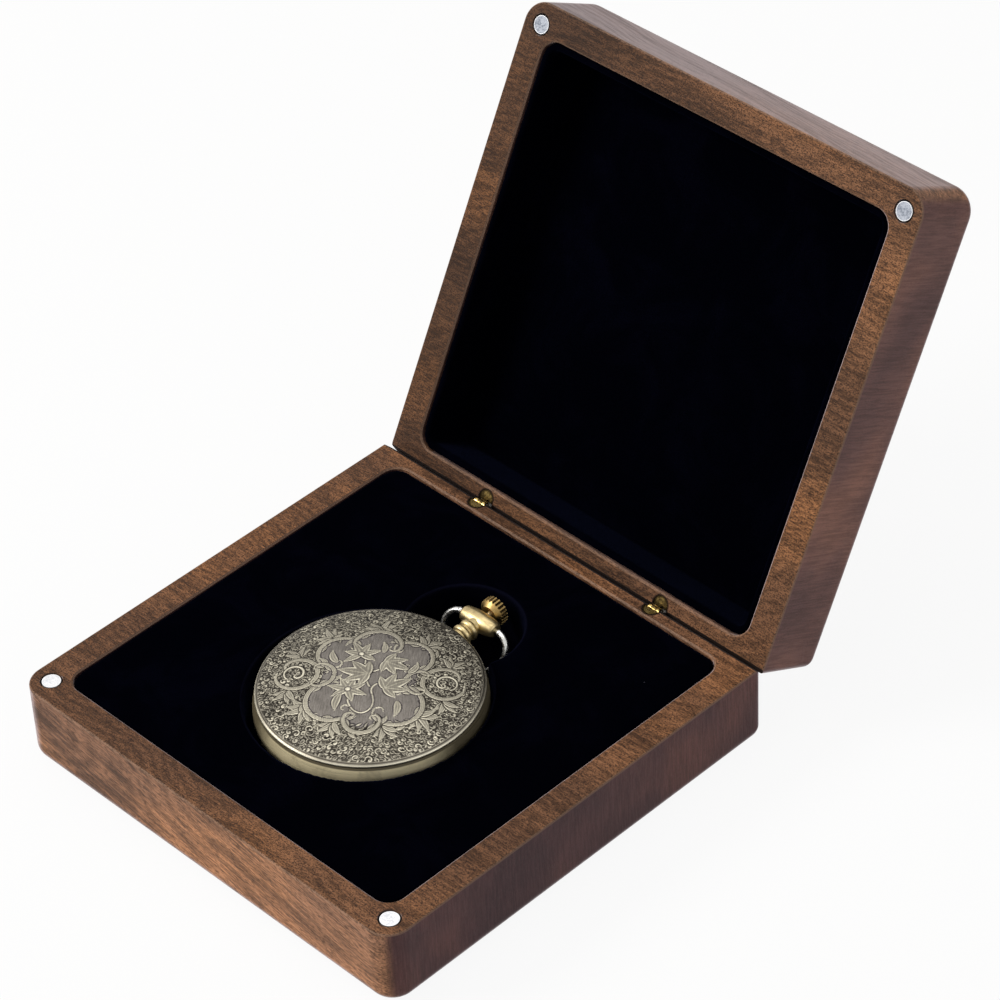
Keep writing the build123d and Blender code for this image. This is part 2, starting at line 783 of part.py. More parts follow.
# Bow: a round wire from one end of the ball round to the other, hanging into the well.
lean = radians(-bow_lean)
bow_out = [cos(lean) * watch_ahead[0], cos(lean) * watch_ahead[1], sin(lean)]
bow_normal = Vector(*watch_right).cross(Vector(*bow_out))
bow_plane = Plane(origin=ball_centre, x_dir=watch_right, z_dir=bow_normal)
foot_x = ball_width / 2 + bow_knob + stem_fit
arch_x = bow_half_width * bow_arch_share
with BuildPart() as watch_bow:
    with BuildLine(bow_plane) as bow_path:
        arch = ThreePointArc((-arch_x, bow_arch_start), (0, bow_length), (arch_x, bow_arch_start))
        TangentArc(arch @ 1, bow_plane.from_local_coords((foot_x, 0, 0)), tangent=arch % 1)
        TangentArc(arch @ 0, bow_plane.from_local_coords((-foot_x, 0, 0)), tangent=(arch % 0) * -1)
    with BuildSketch(Plane(origin=arch @ 0.5, z_dir=arch % 0.5)):
        Circle(bow_wire)
    sweep()
    for end in (-1, 1):
        with Locations(bow_plane.from_local_coords((end * foot_x, 0, 0))):
            Sphere(bow_knob)
        with BuildSketch(ball_side.offset(end * (ball_width / 2 - bow_foot_depth))):
            Circle(bow_foot_radius)
        extrude(amount=end * (bow_foot_depth + bow_knob))
export(watch_bow, "watch_bow")
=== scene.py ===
import bpy, math, random
import numpy as np
from mathutils import Matrix, Vector


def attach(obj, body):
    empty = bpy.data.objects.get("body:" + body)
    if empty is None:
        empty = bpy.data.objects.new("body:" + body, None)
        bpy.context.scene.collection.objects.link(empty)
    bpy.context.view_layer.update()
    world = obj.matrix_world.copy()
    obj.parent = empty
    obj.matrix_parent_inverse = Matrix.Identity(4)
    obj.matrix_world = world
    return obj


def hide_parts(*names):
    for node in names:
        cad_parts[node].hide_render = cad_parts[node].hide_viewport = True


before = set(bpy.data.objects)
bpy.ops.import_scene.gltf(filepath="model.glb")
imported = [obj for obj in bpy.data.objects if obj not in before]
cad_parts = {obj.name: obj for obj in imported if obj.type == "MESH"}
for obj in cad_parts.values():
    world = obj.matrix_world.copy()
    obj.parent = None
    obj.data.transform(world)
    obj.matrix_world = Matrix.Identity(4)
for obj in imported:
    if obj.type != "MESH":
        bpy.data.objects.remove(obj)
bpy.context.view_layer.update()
print("frame loaded")

# the camera stands where the photograph was taken from
cameraValues = {
    "place": (0.4716, -0.40913, 0.58371),
    "turn": (50.1158, 2.3158, 44.9079),
    "lens": 150.11,
    "sensor": 36,
    "clip": (0.01, 20),
}


def addCamera(v):
    data = bpy.data.cameras.new("viewCamera")
    data.lens = v["lens"]
    data.sensor_width = v["sensor"]
    data.clip_start, data.clip_end = v["clip"]
    cam = bpy.data.objects.new("viewCamera", data)
    bpy.context.collection.objects.link(cam)
    cam.location = v["place"]
    cam.rotation_euler = [math.radians(a) for a in v["turn"]]
    bpy.context.scene.camera = cam


addCamera(cameraValues)
print("camera placed")

# soft studio light: a big window to the front left, one lamp above, a weak fill from the right
lightValues = {
    "world": 0.32,
    "lamps": [  # name, place, aim, size, watts, colour
        ("windowLight", (-0.75, -0.75, 0.80), (0.0, 0.0, 0.03), 0.6, 13.0, (1.0, 0.97, 0.93)),
        ("topLight", (-0.1, 0.1, 1.1), (0.0, 0.0, 0.0), 0.7, 2.6, (1.0, 0.99, 0.97)),
        ("fillLight", (0.9, 0.1, 0.5), (0.0, 0.0, 0.02), 0.6, 1.0, (0.92, 0.94, 1.0)),
    ],
    "floorSize": 6.0,
    "floorDrop": 0.0002,
    "floorTone": (0.88, 0.88, 0.88),
    "floorShadow": 0.08,
}


def addLights(v):
    for name, place, aim, size, watts, colour in v["lamps"]:
        data = bpy.data.lights.new(name, "AREA")
        data.shape = "DISK"
        data.size = size
        data.energy = watts
        data.color = colour
        lamp = bpy.data.objects.new(name, data)
        bpy.context.collection.objects.link(lamp)
        lamp.location = place
        lamp.rotation_euler = (Vector(aim) - Vector(place)).to_track_quat("-Z", "Y").to_euler()


def seenRays(nodes, links):
    # 1 for the rays that show a surface to the eye: straight on, mirrored or through glass
    path = nodes.new("ShaderNodeLightPath")
    out = path.outputs["Is Camera Ray"]
    for name in ("Is Glossy Ray", "Is Transmission Ray"):
        either = nodes.new("ShaderNodeMath")
        either.operation = "MAXIMUM"
        links.new(out, either.inputs[0])
        links.new(path.outputs[name], either.inputs[1])
        out = either.outputs[0]
    return out


def mixSeen(nodes, links, share, plain, shown, outKind):
    # the plain shader lights the scene and the shown one is what the eye sees
    mix = nodes.new("ShaderNodeMixShader")
    out = nodes.new(outKind)
    for k, socket in enumerate((share, plain.outputs[0], shown.outputs[0])):
        links.new(socket, mix.inputs[k])
    links.new(mix.outputs[0], out.inputs[0])


def addWorld(v):
    world = bpy.data.worlds.new("paleStudio")
    world.use_nodes = True
    bpy.context.scene.world = world
    nodes, links = world.node_tree.nodes, world.node_tree.links
    nodes.clear()
    soft = nodes.new("ShaderNodeBackground")
    soft.inputs["Strength"].default_value = v["world"]
    white = nodes.new("ShaderNodeBackground")
    white.inputs["Color"].default_value = (1, 1, 1, 1)
    mixSeen(nodes, links, seenRays(nodes, links), soft, white, "ShaderNodeOutputWorld")


def addFloor(v):
    # a plain floor that looks white to the eye and keeps a faint shadow
    bpy.ops.object.select_all(action="DESELECT")
    bpy.ops.mesh.primitive_plane_add(size=v["floorSize"], location=(0, 0, -v["floorDrop"]))
    floor = bpy.context.object
    floor.name = "paleFloor"
    mat = bpy.data.materials.new("paleFloor")
    mat.use_nodes = True
    nodes, links = mat.node_tree.nodes, mat.node_tree.links
    nodes.clear()
    plain = nodes.new("ShaderNodeBsdfDiffuse")
    plain.inputs["Color"].default_value = (*v["floorTone"], 1)
    glow = nodes.new("ShaderNodeEmission")
    glow.inputs["Color"].default_value = (1, 1, 1, 1)
    keep = nodes.new("ShaderNodeMath")
    keep.operation = "MULTIPLY"
    keep.inputs[1].default_value = 1 - v["floorShadow"]
    links.new(seenRays(nodes, links), keep.inputs[0])
    mixSeen(nodes, links, keep.outputs[0], plain, glow, "ShaderNodeOutputMaterial")
    floor.data.materials.append(mat)


addLights(lightValues)
addWorld(lightValues)
addFloor(lightValues)
bpy.context.scene.view_settings.view_transform = "Standard"
print("light and floor set")


# small helpers for the node materials; a noise is given as scale, detail, roughness, warp
def blank(name):
    mat = bpy.data.materials.new(name)
    mat.use_nodes = True
    nodes, links = mat.node_tree.nodes, mat.node_tree.links
    nodes.clear()
    out = nodes.new("ShaderNodeOutputMaterial")
    shader = nodes.new("ShaderNodeBsdfPrincipled")
    links.new(shader.outputs[0], out.inputs[0])
    return {"mat": mat, "nodes": nodes, "links": links, "shader": shader}


def mapped(m, vector, scale=(1, 1, 1), turn=(0, 0, 0), move=(0, 0, 0), kind="POINT"):
    n = m["nodes"].new("ShaderNodeMapping")
    n.vector_type = kind
    n.inputs["Scale"].default_value = scale
    n.inputs["Rotation"].default_value = turn
    if kind == "POINT":
        n.inputs["Location"].default_value = move
    m["links"].new(vector, n.inputs["Vector"])
    return n.outputs[0]


def objectPoint(m):
    return m["nodes"].new("ShaderNodeTexCoord").outputs["Object"]


def objectNormal(m):
    return m["nodes"].new("ShaderNodeTexCoord").outputs["Normal"]


def axes(m, vector):
    n = m["nodes"].new("ShaderNodeSeparateXYZ")
    m["links"].new(vector, n.inputs[0])
    return n.outputs


def noise(m, vector, scale, detail=3.0, rough=0.5, warp=0.0):
    n = m["nodes"].new("ShaderNodeTexNoise")
    n.inputs["Scale"].default_value = scale
    n.inputs["Detail"].default_value = detail
    n.inputs["Roughness"].default_value = rough
    n.inputs["Distortion"].default_value = warp
    m["links"].new(vector, n.inputs["Vector"])
    return n.outputs["Fac"]


def cells(m, vector, scale, output="Distance"):
    n = m["nodes"].new("ShaderNodeTexVoronoi")
    n.inputs["Scale"].default_value = scale
    m["links"].new(vector, n.inputs["Vector"])
    return n.outputs[output]


def attribute(m, name):
    n = m["nodes"].new("ShaderNodeAttribute")
    n.attribute_name = name
    return n.outputs["Fac"]


def calc(m, kind, *parts):
    n = m["nodes"].new("ShaderNodeMath")
    n.operation = kind
    for i, x in enumerate(parts):
        if isinstance(x, (int, float)):
            n.inputs[i].default_value = x
        else:
            m["links"].new(x, n.inputs[i])
    return n.outputs[0]


def times(m, a, b):
    return calc(m, "MULTIPLY", a, b)


def plus(m, a, b):
    return calc(m, "ADD", a, b)


def minus(m, a, b):
    return calc(m, "SUBTRACT", a, b)


def larger(m, a, b):
    return calc(m, "MAXIMUM", a, b)


def unsigned(m, a):
    return calc(m, "ABSOLUTE", a)


def oneMinus(m, a):
    return minus(m, 1.0, a)


def weighed(m, values, weights):
    # the sum of each value times its weight
    total = times(m, values[0], weights[0])
    for value, weight in zip(values[1:], weights[1:]):
        total = plus(m, total, times(m, value, weight))
    return total


def fromAxis(m, a, b):
    return calc(m, "SQRT", plus(m, times(m, a, a), times(m, b, b)))


def fromPair(m, x, y, place):
    # distance from the nearer of two upright axes, one on each side of the middle
    return fromAxis(m, minus(m, unsigned(m, x), place[0]), minus(m, y, place[1]))


def span(m, value, low, high, outLow=0.0, outHigh=1.0):
    n = m["nodes"].new("ShaderNodeMapRange")
    n.interpolation_type = "SMOOTHSTEP"
    for socket, x in zip(("From Min", "From Max", "To Min", "To Max"), (low, high, outLow, outHigh)):
        n.inputs[socket].default_value = x
    m["links"].new(value, n.inputs["Value"])
    return n.outputs[0]


def ramp(m, value, stops):
    r = m["nodes"].new("ShaderNodeValToRGB")
    e = r.color_ramp.elements
    while len(e) < len(stops):
        e.new(0.5)
    for el, (at, colour) in zip(e, stops):
        el.position = at
        el.color = (*colour, 1) if isinstance(colour, tuple) else (colour, colour, colour, 1)
    m["links"].new(value, r.inputs[0])
    return r.outputs[0]


def blendColour(m, share, a, b, kind="MIX"):
    n = m["nodes"].new("ShaderNodeMix")
    n.data_type = "RGBA"
    n.blend_type = kind
    for socket, x in ((n.inputs[0], share), (n.inputs[6], a), (n.inputs[7], b)):
        if isinstance(x, (int, float)):
            socket.default_value = x
        elif isinstance(x, tuple):
            socket.default_value = (*x, 1)
        else:
            m["links"].new(x, socket)
    return n.outputs[2]


def feed(m, output, socket):
    m["links"].new(output, m["shader"].inputs[socket])


def around(m, mottle, middle, below, above):
    # follows a noise, a little below and above a middle value
    return span(m, mottle, 0.3, 0.7, middle - below, middle + above)


def finish(m, colour, mottle, roughness, below=0.06, above=0.14, metallic=1.0):
    feed(m, colour, "Base Color")
    feed(m, around(m, mottle, roughness, below, above), "Roughness")
    m["shader"].inputs["Metallic"].default_value = metallic


def bump(m, height, depth, strength=1.0):
    b = m["nodes"].new("ShaderNodeBump")
    b.inputs["Strength"].default_value = strength
    b.inputs["Distance"].default_value = depth
    m["links"].new(height, b.inputs["Height"])
    m["links"].new(b.outputs[0], m["shader"].inputs["Normal"])


def paint(mat, *names):
    for name in names:
        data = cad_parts[name].data
        data.materials.clear()
        data.materials.append(mat)


# the lid is laid back about the hinge; patterns and new lid pieces are laid out on the closed lid
hinge = {
    "place": Vector((0, 0.05125, 0.0178)),
    "open": math.radians(117.7),
    "barrels": (0.0253, 0.0502),
}
closing = Matrix.Rotation(hinge["open"], 3, "X")
closedMove = hinge["place"] - closing @ hinge["place"]
toHinge = Matrix.Translation(hinge["place"])
fromHinge = Matrix.Translation(-hinge["place"])
openLid = toHinge @ closing.inverted().to_4x4() @ fromHinge


def closedPoint(m, lid):
    # object coordinates, those of a lid piece swung back onto the closed box
    if lid:
        return mapped(m, objectPoint(m), turn=(hinge["open"], 0, 0), move=tuple(closedMove))
    return objectPoint(m)


# walnut: figure along X, fine pores that read as short dashes, each face with the tone of its cut; painted
# highlights on the rim edges, a painted sheen at grazing angles, a painted side-to-side light, and painted
# shade on the hinge bevel and round the barrels
walnutValues = {
    "seed": (0.013, 0.021, 0.008),
    "rimTone": (0.195, 0.092, 0.046),
    "frontTone": (0.266, 0.134, 0.077),
    "endTone": (0.092, 0.043, 0.043),
    "edgeHighlightTone": (0.30, 0.19, 0.13),
    "poreTone": (0.020, 0.009, 0.006),
    "grazingSheenTone": (0.54, 0.45, 0.465),
    "paintedShadeTone": (0.010, 0.006, 0.005),
    "evenTone": (0.92, 0.92, 0.92),
    "evenShare": 0.68,
    "edgeHighlightShare": 0.50,
    "poreShare": 0.80,
    "paintedShadeShare": 0.92,
    "roughness": 0.52,
    "specular": 0.12,
    "bump": (0.00006, 0.6),
    "sideLight": 0.06,  # painted light and shade from side to side: darker to the left, lighter to the right
    "halfWidth": 0.055,
    "tilt": -0.17,  # of the grain, in radians
    "ringLean": 0.12,
    "ringBend": 0.034,
    "ringPitch": 2900.0,
    "frontFigure": (0.06, 0.60, 0.34),  # rings, fibres, broad bands
    "endFigure": (0.76, 0.24),  # streaks, bands
    "contrast": [(0.40, 0.42), (0.49, 0.90), (0.58, 1.56)],
    "regions": [(0.34, (0.68, 0.70, 0.76)), (0.52, (1.0, 1.0, 1.0)), (0.68, (1.46, 1.38, 1.20))],
    "endFacing": (0.50, 0.85),
    "rimFacing": (0.55, 0.85),
    "flatFacing": (0.93, 0.995),
    "slantFacing": (0.35, 0.50),
    "rimHeight": 0.0189,
    "edgeHighlightWidth": (0.00032, 0.00055),
    "longPores": (0.53, 0.60),
    "shortPores": (0.47, 0.62),
    "frontPores": 0.70,
    "endPoreLoss": 0.6,
    "grazingSheenFacing": (0.60, 0.84),
    "grazingSheenFigure": (0.38, 0.60, 0.40, 0.84),
    "bevelStart": (0.0490, 0.0494),
    "barrelShade": (0.00205, 0.0024),
    "endLean": 0.16,
    "regionPlace": (3.1, 1.7, 0.6),
    "noises": {  # scale along each axis, detail, roughness, warp
        "wave": ((15, 30, 30), 2.0, 0.5, 0.4),
        "fibres": ((150, 2600, 2600), 4.0, 0.66, 0.3),
        "broad": ((16, 190, 190), 3.0, 0.55, 0.5),
        "region": ((17, 40, 40), 2.0, 0.5, 0.3),
        "endStreaks": ((1, 2100, 150), 4.0, 0.66, 0.15),
        "endBands": ((1, 210, 38), 3.0, 0.55, 0.3),
        "longPores": ((700, 4200, 4200), 1.0, 0.5),
        "shortPores": ((2500, 4100, 4100), 2.0, 0.6),
    },
}


def walnut(name, v, lid):
    m = blank(name)
    point = closedPoint(m, lid)
    facing = objectNormal(m)
    if lid:
        facing = mapped(m, facing, turn=(hinge["open"], 0, 0), kind="VECTOR")
    grain = mapped(m, point, turn=(0, v["tilt"], 0), move=v["seed"])

    def along(key, lean=0, move=(0, 0, 0)):
        scale, *settings = v["noises"][key]
        return noise(m, mapped(m, grain, scale, (lean, 0, 0), move), 1.0, *settings)

    x, y, height = axes(m, point)
    _, gy, gz = axes(m, grain)
    nx, ny, nz = [unsigned(m, a) for a in axes(m, facing)]
    ends = span(m, nx, *v["endFacing"])
    onRim = span(m, nz, *v["rimFacing"])
    # growth rings, bent by a slow wave, under fibres and broad bands
    across = calc(m, "MULTIPLY_ADD", gz, v["ringLean"], gy)
    bent = calc(m, "MULTIPLY_ADD", along("wave"), v["ringBend"], across)
    rings = calc(m, "MULTIPLY_ADD", calc(m, "SINE", times(m, bent, v["ringPitch"])), 0.5, 0.5)
    fibres = along("fibres")
    figure = weighed(m, (rings, fibres, along("broad")), v["frontFigure"])
    # end grain reads as thin upright streaks
    streaks = [along(key, v["endLean"]) for key in ("endStreaks", "endBands")]
    streaks = weighed(m, streaks, v["endFigure"])
    figure = plus(m, times(m, figure, oneMinus(m, ends)), times(m, streaks, ends))
    light = blendColour(m, times(m, ends, v["evenShare"]), ramp(m, figure, v["contrast"]), v["evenTone"])
    regions = ramp(m, along("region", move=v["regionPlace"]), v["regions"])
    light = blendColour(m, 1.0, light, regions, "MULTIPLY")
    # painted light and shade: the tone runs darker to the left and lighter to the right, strongest on the
    # lid
    paintedSideLight = span(m, x, -v["halfWidth"], v["halfWidth"], 1 - v["sideLight"], 1 + v["sideLight"])
    light = blendColour(m, 1.0, light, paintedSideLight, "MULTIPLY")
    # front, rim and end grain
    cut = blendColour(m, onRim, v["frontTone"], v["rimTone"])
    cut = blendColour(m, ends, cut, v["endTone"])
    colour = blendColour(m, 1.0, cut, light, "MULTIPLY")
    # the rounded edges beside the rim are painted paler, a painted highlight
    away = unsigned(m, minus(m, height, v["rimHeight"]))
    edgeHighlight = times(m, span(m, away, *v["edgeHighlightWidth"], 1.0, 0.0), span(m, nz, *v["flatFacing"], 1.0, 0.0))
    colour = blendColour(m, times(m, edgeHighlight, v["edgeHighlightShare"]), colour, v["edgeHighlightTone"])
    # open pores, long on the front and short on the rim
    long = span(m, along("longPores"), *v["longPores"])
    short = span(m, along("shortPores"), *v["shortPores"])
    pits = plus(m, times(m, short, onRim), times(m, long, oneMinus(m, onRim)))
    share = span(m, nz, *v["rimFacing"], v["frontPores"], 1.0)
    share = times(m, share, oneMinus(m, times(m, ends, v["endPoreLoss"])))
    colour = blendColour(m, times(m, pits, times(m, share, v["poreShare"])), colour, v["poreTone"])
    # painted sheen: the wood is painted paler at a grazing angle, more where the figure is light
    graze = m["nodes"].new("ShaderNodeLayerWeight")
    graze.inputs["Blend"].default_value = 0.5
    haze = span(m, graze.outputs["Facing"], *v["grazingSheenFacing"])
    haze = times(m, haze, span(m, figure, *v["grazingSheenFigure"]))
    colour = blendColour(m, haze, colour, v["grazingSheenTone"])
    # painted shade: the hinge bevel is painted dark, and so is the wood round each hinge barrel
    slant = times(m, span(m, ny, *v["slantFacing"]), span(m, nz, *v["slantFacing"]))
    slant = times(m, slant, span(m, y, *v["bevelStart"]))
    shade = span(m, fromPair(m, x, y, hinge["barrels"]), *v["barrelShade"], 1.0, 0.0)
    shade = larger(m, slant, shade)
    feed(m, blendColour(m, times(m, shade, v["paintedShadeShare"]), colour, v["paintedShadeTone"]), "Base Color")
    feed(m, larger(m, around(m, fibres, v["roughness"], 0.07, 0.09), shade), "Roughness")
    m["shader"].inputs["Specular IOR Level"].default_value = v["specular"]
    bump(m, minus(m, times(m, fibres, 0.5), pits), *v["bump"])
    return m["mat"]


lidWalnutValues = {
    **walnutValues,
    "seed": (0.17, 0.33, 0.11),
    "endTone": (0.142, 0.072, 0.062),
    "rimTone": (0.146, 0.069, 0.034),
    # the lid's painted side light is strong: darker on its left
    "sideLight": 0.30,
    "ringLean": 0.75,
}
paint(walnut("baseWalnut", walnutValues, False), "walnut_base")
paint(walnut("lidWalnut", lidWalnutValues, True), "walnut_lid")
print("wood finished")

# metals: a base tone, darker tarnish in soft patches, fine polishing lines
metalValues = {  # tone, tarnish tone, share of tarnish, roughness, grain size, bump
    "hingeSteel": ((0.60, 0.58, 0.54), (0.25, 0.23, 0.20), 0.35, 0.30, 1200, 0.2),
    "pendantGold": ((0.58, 0.46, 0.24), (0.20, 0.15, 0.08), 0.55, 0.34, 800, 0.3),
    "bowSilver": ((0.62, 0.62, 0.60), (0.26, 0.25, 0.24), 0.35, 0.26, 900, 0.2),
    "bezelBrass": ((0.70, 0.56, 0.30), (0.30, 0.22, 0.10), 0.35, 0.25, 900, 0.2),
    "workSteel": ((0.55, 0.55, 0.56), (0.28, 0.28, 0.30), 0.35, 0.35, 1500, 0.2),
    "cellSteel": ((0.72, 0.72, 0.73), (0.45, 0.45, 0.47), 0.30, 0.22, 1100, 0.2),
    "handBlue": ((0.03, 0.045, 0.12), (0.012, 0.015, 0.04), 0.5, 0.28, 1200, 0.2),
}
metalPieces = {
    "hingeSteel": ["hinge_pins", "watch_cover_pin"],
    "pendantGold": ["watch_pendant"],
    "bowSilver": ["watch_bow"],
    "bezelBrass": ["watch_bezel"],
    "workSteel": ["watch_stem", "watch_setting_pinion", "watch_lift_spring", "watch_latch_spring"],
    "cellSteel": ["watch_battery"],
    "handBlue": ["watch_hour_hand", "watch_minute_hand", "watch_second_hand"],
}


def metal(name, tone, tarnish, share, roughness, grain, strength):
    m = blank(name)
    point = objectPoint(m)
    patches = noise(m, point, grain * 0.35, 4.0, 0.6, 0.3)
    lines = noise(m, mapped(m, point, (grain * 0.4, grain * 4, grain * 4)), 1.0, 3.0, 0.6)
    where = span(m, weighed(m, (patches, lines), (0.7, 0.3)), 0.44, 0.66)
    finish(m, blendColour(m, times(m, where, share), tone, tarnish), lines, roughness)
    bump(m, plus(m, patches, times(m, lines, 0.5)), 0.00003, strength)
    return m["mat"]


for finishName, pieceNames in metalPieces.items():
    paint(metal(finishName, *metalValues[finishName]), *pieceNames)

# hinge brass: mottled gold, with painted shade where each barrel meets its hole, and a darker copy painted
# as in shade on the lid
brassValues = {
    "tone": (0.66, 0.47, 0.17),
    "tarnish": (0.20, 0.13, 0.04),
    "tarnishFrom": (0.40, 0.62),
    "dark": (0.030, 0.020, 0.008),
    "paintedShadeShare": 0.9,
    "holeShadeFrom": (0.00135, 0.0017),
    "roughness": 0.25,
    "mottle": (900, 4.0, 0.6, 0.3),
    "bump": (0.00004, 0.4),
}
shadedBrassValues = {**brassValues, "tone": (0.26, 0.18, 0.06), "tarnish": (0.06, 0.04, 0.015)}


def hingeBrass(name, v, lid):
    m = blank(name)
    point = closedPoint(m, lid)
    x, y, _ = axes(m, point)
    mottle = noise(m, point, *v["mottle"])
    tone = blendColour(m, span(m, mottle, *v["tarnishFrom"]), v["tone"], v["tarnish"])
    # painted shade round the edge of each barrel top, where it meets its hole
    edge = span(m, fromPair(m, x, y, hinge["barrels"]), *v["holeShadeFrom"])
    finish(m, blendColour(m, times(m, edge, v["paintedShadeShare"]), tone, v["dark"]), mottle, v["roughness"])
    bump(m, mottle, *v["bump"])
    return m["mat"]


paint(hingeBrass("baseBrass", brassValues, False), "base_hinge_barrels")
paint(hingeBrass("lidBrass", shadedBrassValues, True), "lid_hinge_barrels")

# the watch lies turned a little in its nest
watch = {"place": Vector((0.0014, -0.0065, 0)), "turn": math.radians(1.7), "stemHeight": 0.0168}


def watchPoint(m, height=0.0):
    # object coordinates moved to the watch's centre line, its crown along +Y
    moved = mapped(m, objectPoint(m), move=(-watch["place"].x, -watch["place"].y, -height))
    return mapped(m, moved, turn=(0, 0, -watch["turn"]))


# nickel magnets: a mottled face, a painted highlight on the rolled edge and painted shade on the chamfer,
# by radius from each magnet's axis
magnetValues = {
    "place": (0.0494, -0.0475),
    "edge": (0.00180, 0.00186),
    "chamfer": (0.00194, 0.00198),
    "face": (0.86, 0.86, 0.87),
    "second": (0.62, 0.63, 0.66),
    "rolled": (0.90, 0.90, 0.91),
    "dark": (0.060, 0.060, 0.065),
    "roughness": 0.42,
    "speck": (2300, 3.0, 0.7),
    "cloud": (620, 3.0, 0.6),
    "bump": (0.00003, 0.4),
}
# the lid's magnets are a darker copy of the same nickel, painted as in shade, with a dimmer painted
# highlight
shadedLidMagnetValues = {
    **magnetValues,
    "face": (0.30, 0.32, 0.36),
    "second": (0.13, 0.145, 0.175),
    "rolled": (0.58, 0.59, 0.61),
    "roughness": 0.36,
}


def magnetNickel(name, v, lid):
    m = blank(name)
    point = closedPoint(m, lid)
    x, y, _ = axes(m, point)
    radius = fromPair(m, x, y, v["place"])
    speck = noise(m, point, *v["speck"])
    cloud = noise(m, point, *v["cloud"])
    where = span(m, weighed(m, (speck, cloud), (0.6, 0.4)), 0.42, 0.60)
    colour = blendColour(m, where, v["face"], v["second"])
    # a painted highlight on the rolled edge, then painted shade on the chamfer
    colour = blendColour(m, span(m, radius, *v["edge"]), colour, v["rolled"])
    colour = blendColour(m, span(m, radius, *v["chamfer"]), colour, v["dark"])
    finish(m, colour, speck, v["roughness"])
    bump(m, speck, *v["bump"])
    return m["mat"]


paint(magnetNickel("baseNickel", magnetValues, False), "base_magnets")
paint(magnetNickel("lidNickel", shadedLidMagnetValues, True), "lid_magnets")

# case band: brushed round the watch, with painted shade toward the cover and the back, a painted highlight
# on one side and tarnish in patches
bandValues = {
    "tone": (1.0, 0.87, 0.55),
    "tarnish": (0.050, 0.036, 0.017),
    "shadeAndTarnishShare": 0.86,
    "coverShade": (0.01965, 0.01995),
    "backShade": (0.0166, 0.0144),
    "highlightAt": -58.0,  # where the painted highlight is, in degrees round the watch from +X
    "highlightRange": (0.98, 0.62),
    "patchRange": (0.52, 0.74, 0.0, 0.40),
    "roughness": 0.32,
    "metallic": 0.42,
    "patches": (210, 4.0, 0.6, 0.4),
    "brushed": (1.6, 4.0, 0.65),
    "brushRound": 0.6,  # how fast the brushed lines change round the watch, and up it
    "brushUp": 900.0,
    "bump": (0.00003, 0.2),
}


def caseBand(v):
    m = blank("caseBand")
    point = watchPoint(m)
    x, y, z = axes(m, point)
    angle = calc(m, "ARCTAN2", y, x)
    ring = m["nodes"].new("ShaderNodeCombineXYZ")
    m["links"].new(times(m, angle, v["brushRound"]), ring.inputs[0])
    m["links"].new(times(m, z, v["brushUp"]), ring.inputs[2])
    brushed = noise(m, ring.outputs[0], *v["brushed"])
    patches = noise(m, point, *v["patches"])
    # painted shade toward the cover seam and toward the back
    ends = larger(m, span(m, z, *v["coverShade"]), span(m, z, *v["backShade"]))
    # a painted highlight on one side and painted shade away from it, broken by the patches
    paintedLightAndWear = calc(m, "COSINE", minus(m, angle, math.radians(v["highlightAt"])))
    paintedLightAndWear = span(m, calc(m, "MULTIPLY_ADD", patches, 0.25, paintedLightAndWear), *v["highlightRange"])
    dark = larger(m, larger(m, ends, paintedLightAndWear), span(m, patches, *v["patchRange"]))
    dark = times(m, dark, v["shadeAndTarnishShare"])
    dark = calc(m, "MULTIPLY_ADD", span(m, brushed, 0.45, 0.75), 0.12, dark)
    colour = blendColour(m, dark, v["tone"], v["tarnish"])
    finish(m, colour, brushed, v["roughness"], 0.06, 0.12, v["metallic"])
    bump(m, plus(m, times(m, brushed, 0.3), patches), *v["bump"])
    return m["mat"]


paint(caseBand(bandValues), "watch_case", "watch_back_cover")

# crown: gold on the ribs, painted shade in the flutes; radii are measured from the stem's line
crownValues = {
    "tone": (0.43, 0.29, 0.11),
    "second": (0.25, 0.17, 0.07),
    "fluteShade": (0.022, 0.014, 0.006),
    "ribs": (0.00288, 0.00310),
    "cap": (0.0368, 0.0370),
    "skirt": (0.0353, 0.0354),
    "roughness": 0.30,
    "patches": (700, 4.0, 0.6),
    "bump": (0.00004, 0.35),
}


def crownGold(v):
    m = blank("crownGold")
    point = watchPoint(m, watch["stemHeight"])
    x, y, z = axes(m, point)
    patches = noise(m, point, *v["patches"])
    plain = larger(m, span(m, y, *v["cap"]), span(m, y, *v["skirt"], 1.0, 0.0))
    # painted shade: inside the ribs' radius the flutes are near black, except on the cap and the skirt
    paintedLightAndWear = larger(m, span(m, fromAxis(m, x, z), *v["ribs"]), plain)
    tone = blendColour(m, span(m, patches, 0.45, 0.7, 0.0, 0.45), v["tone"], v["second"])
    finish(m, blendColour(m, paintedLightAndWear, v["fluteShade"], tone), patches, v["roughness"], 0.05, 0.15)
    bump(m, patches, *v["bump"])
    return m["mat"]


paint(crownGold(crownValues), "watch_crown")

# dial: cream enamel with a minute track, its ring line and twelve hour bars
dialValues = {
    "tone": (0.80, 0.77, 0.69),
    "second": (0.72, 0.68, 0.58),
    "ink": (0.03, 0.03, 0.035),
    "minuteBars": (60, 0.00008, 0.0165, 0.0175),  # count, half width, inner and outer radius
    "hourBars": (12, 0.00045, 0.0129, 0.0157),
    "ringLine": (0.0164, 0.00005),  # radius, half width
    "roughness": 0.28,
    "cloud": (300, 3.0, 0.6),
    "bump": (0.00002, 0.2),
}


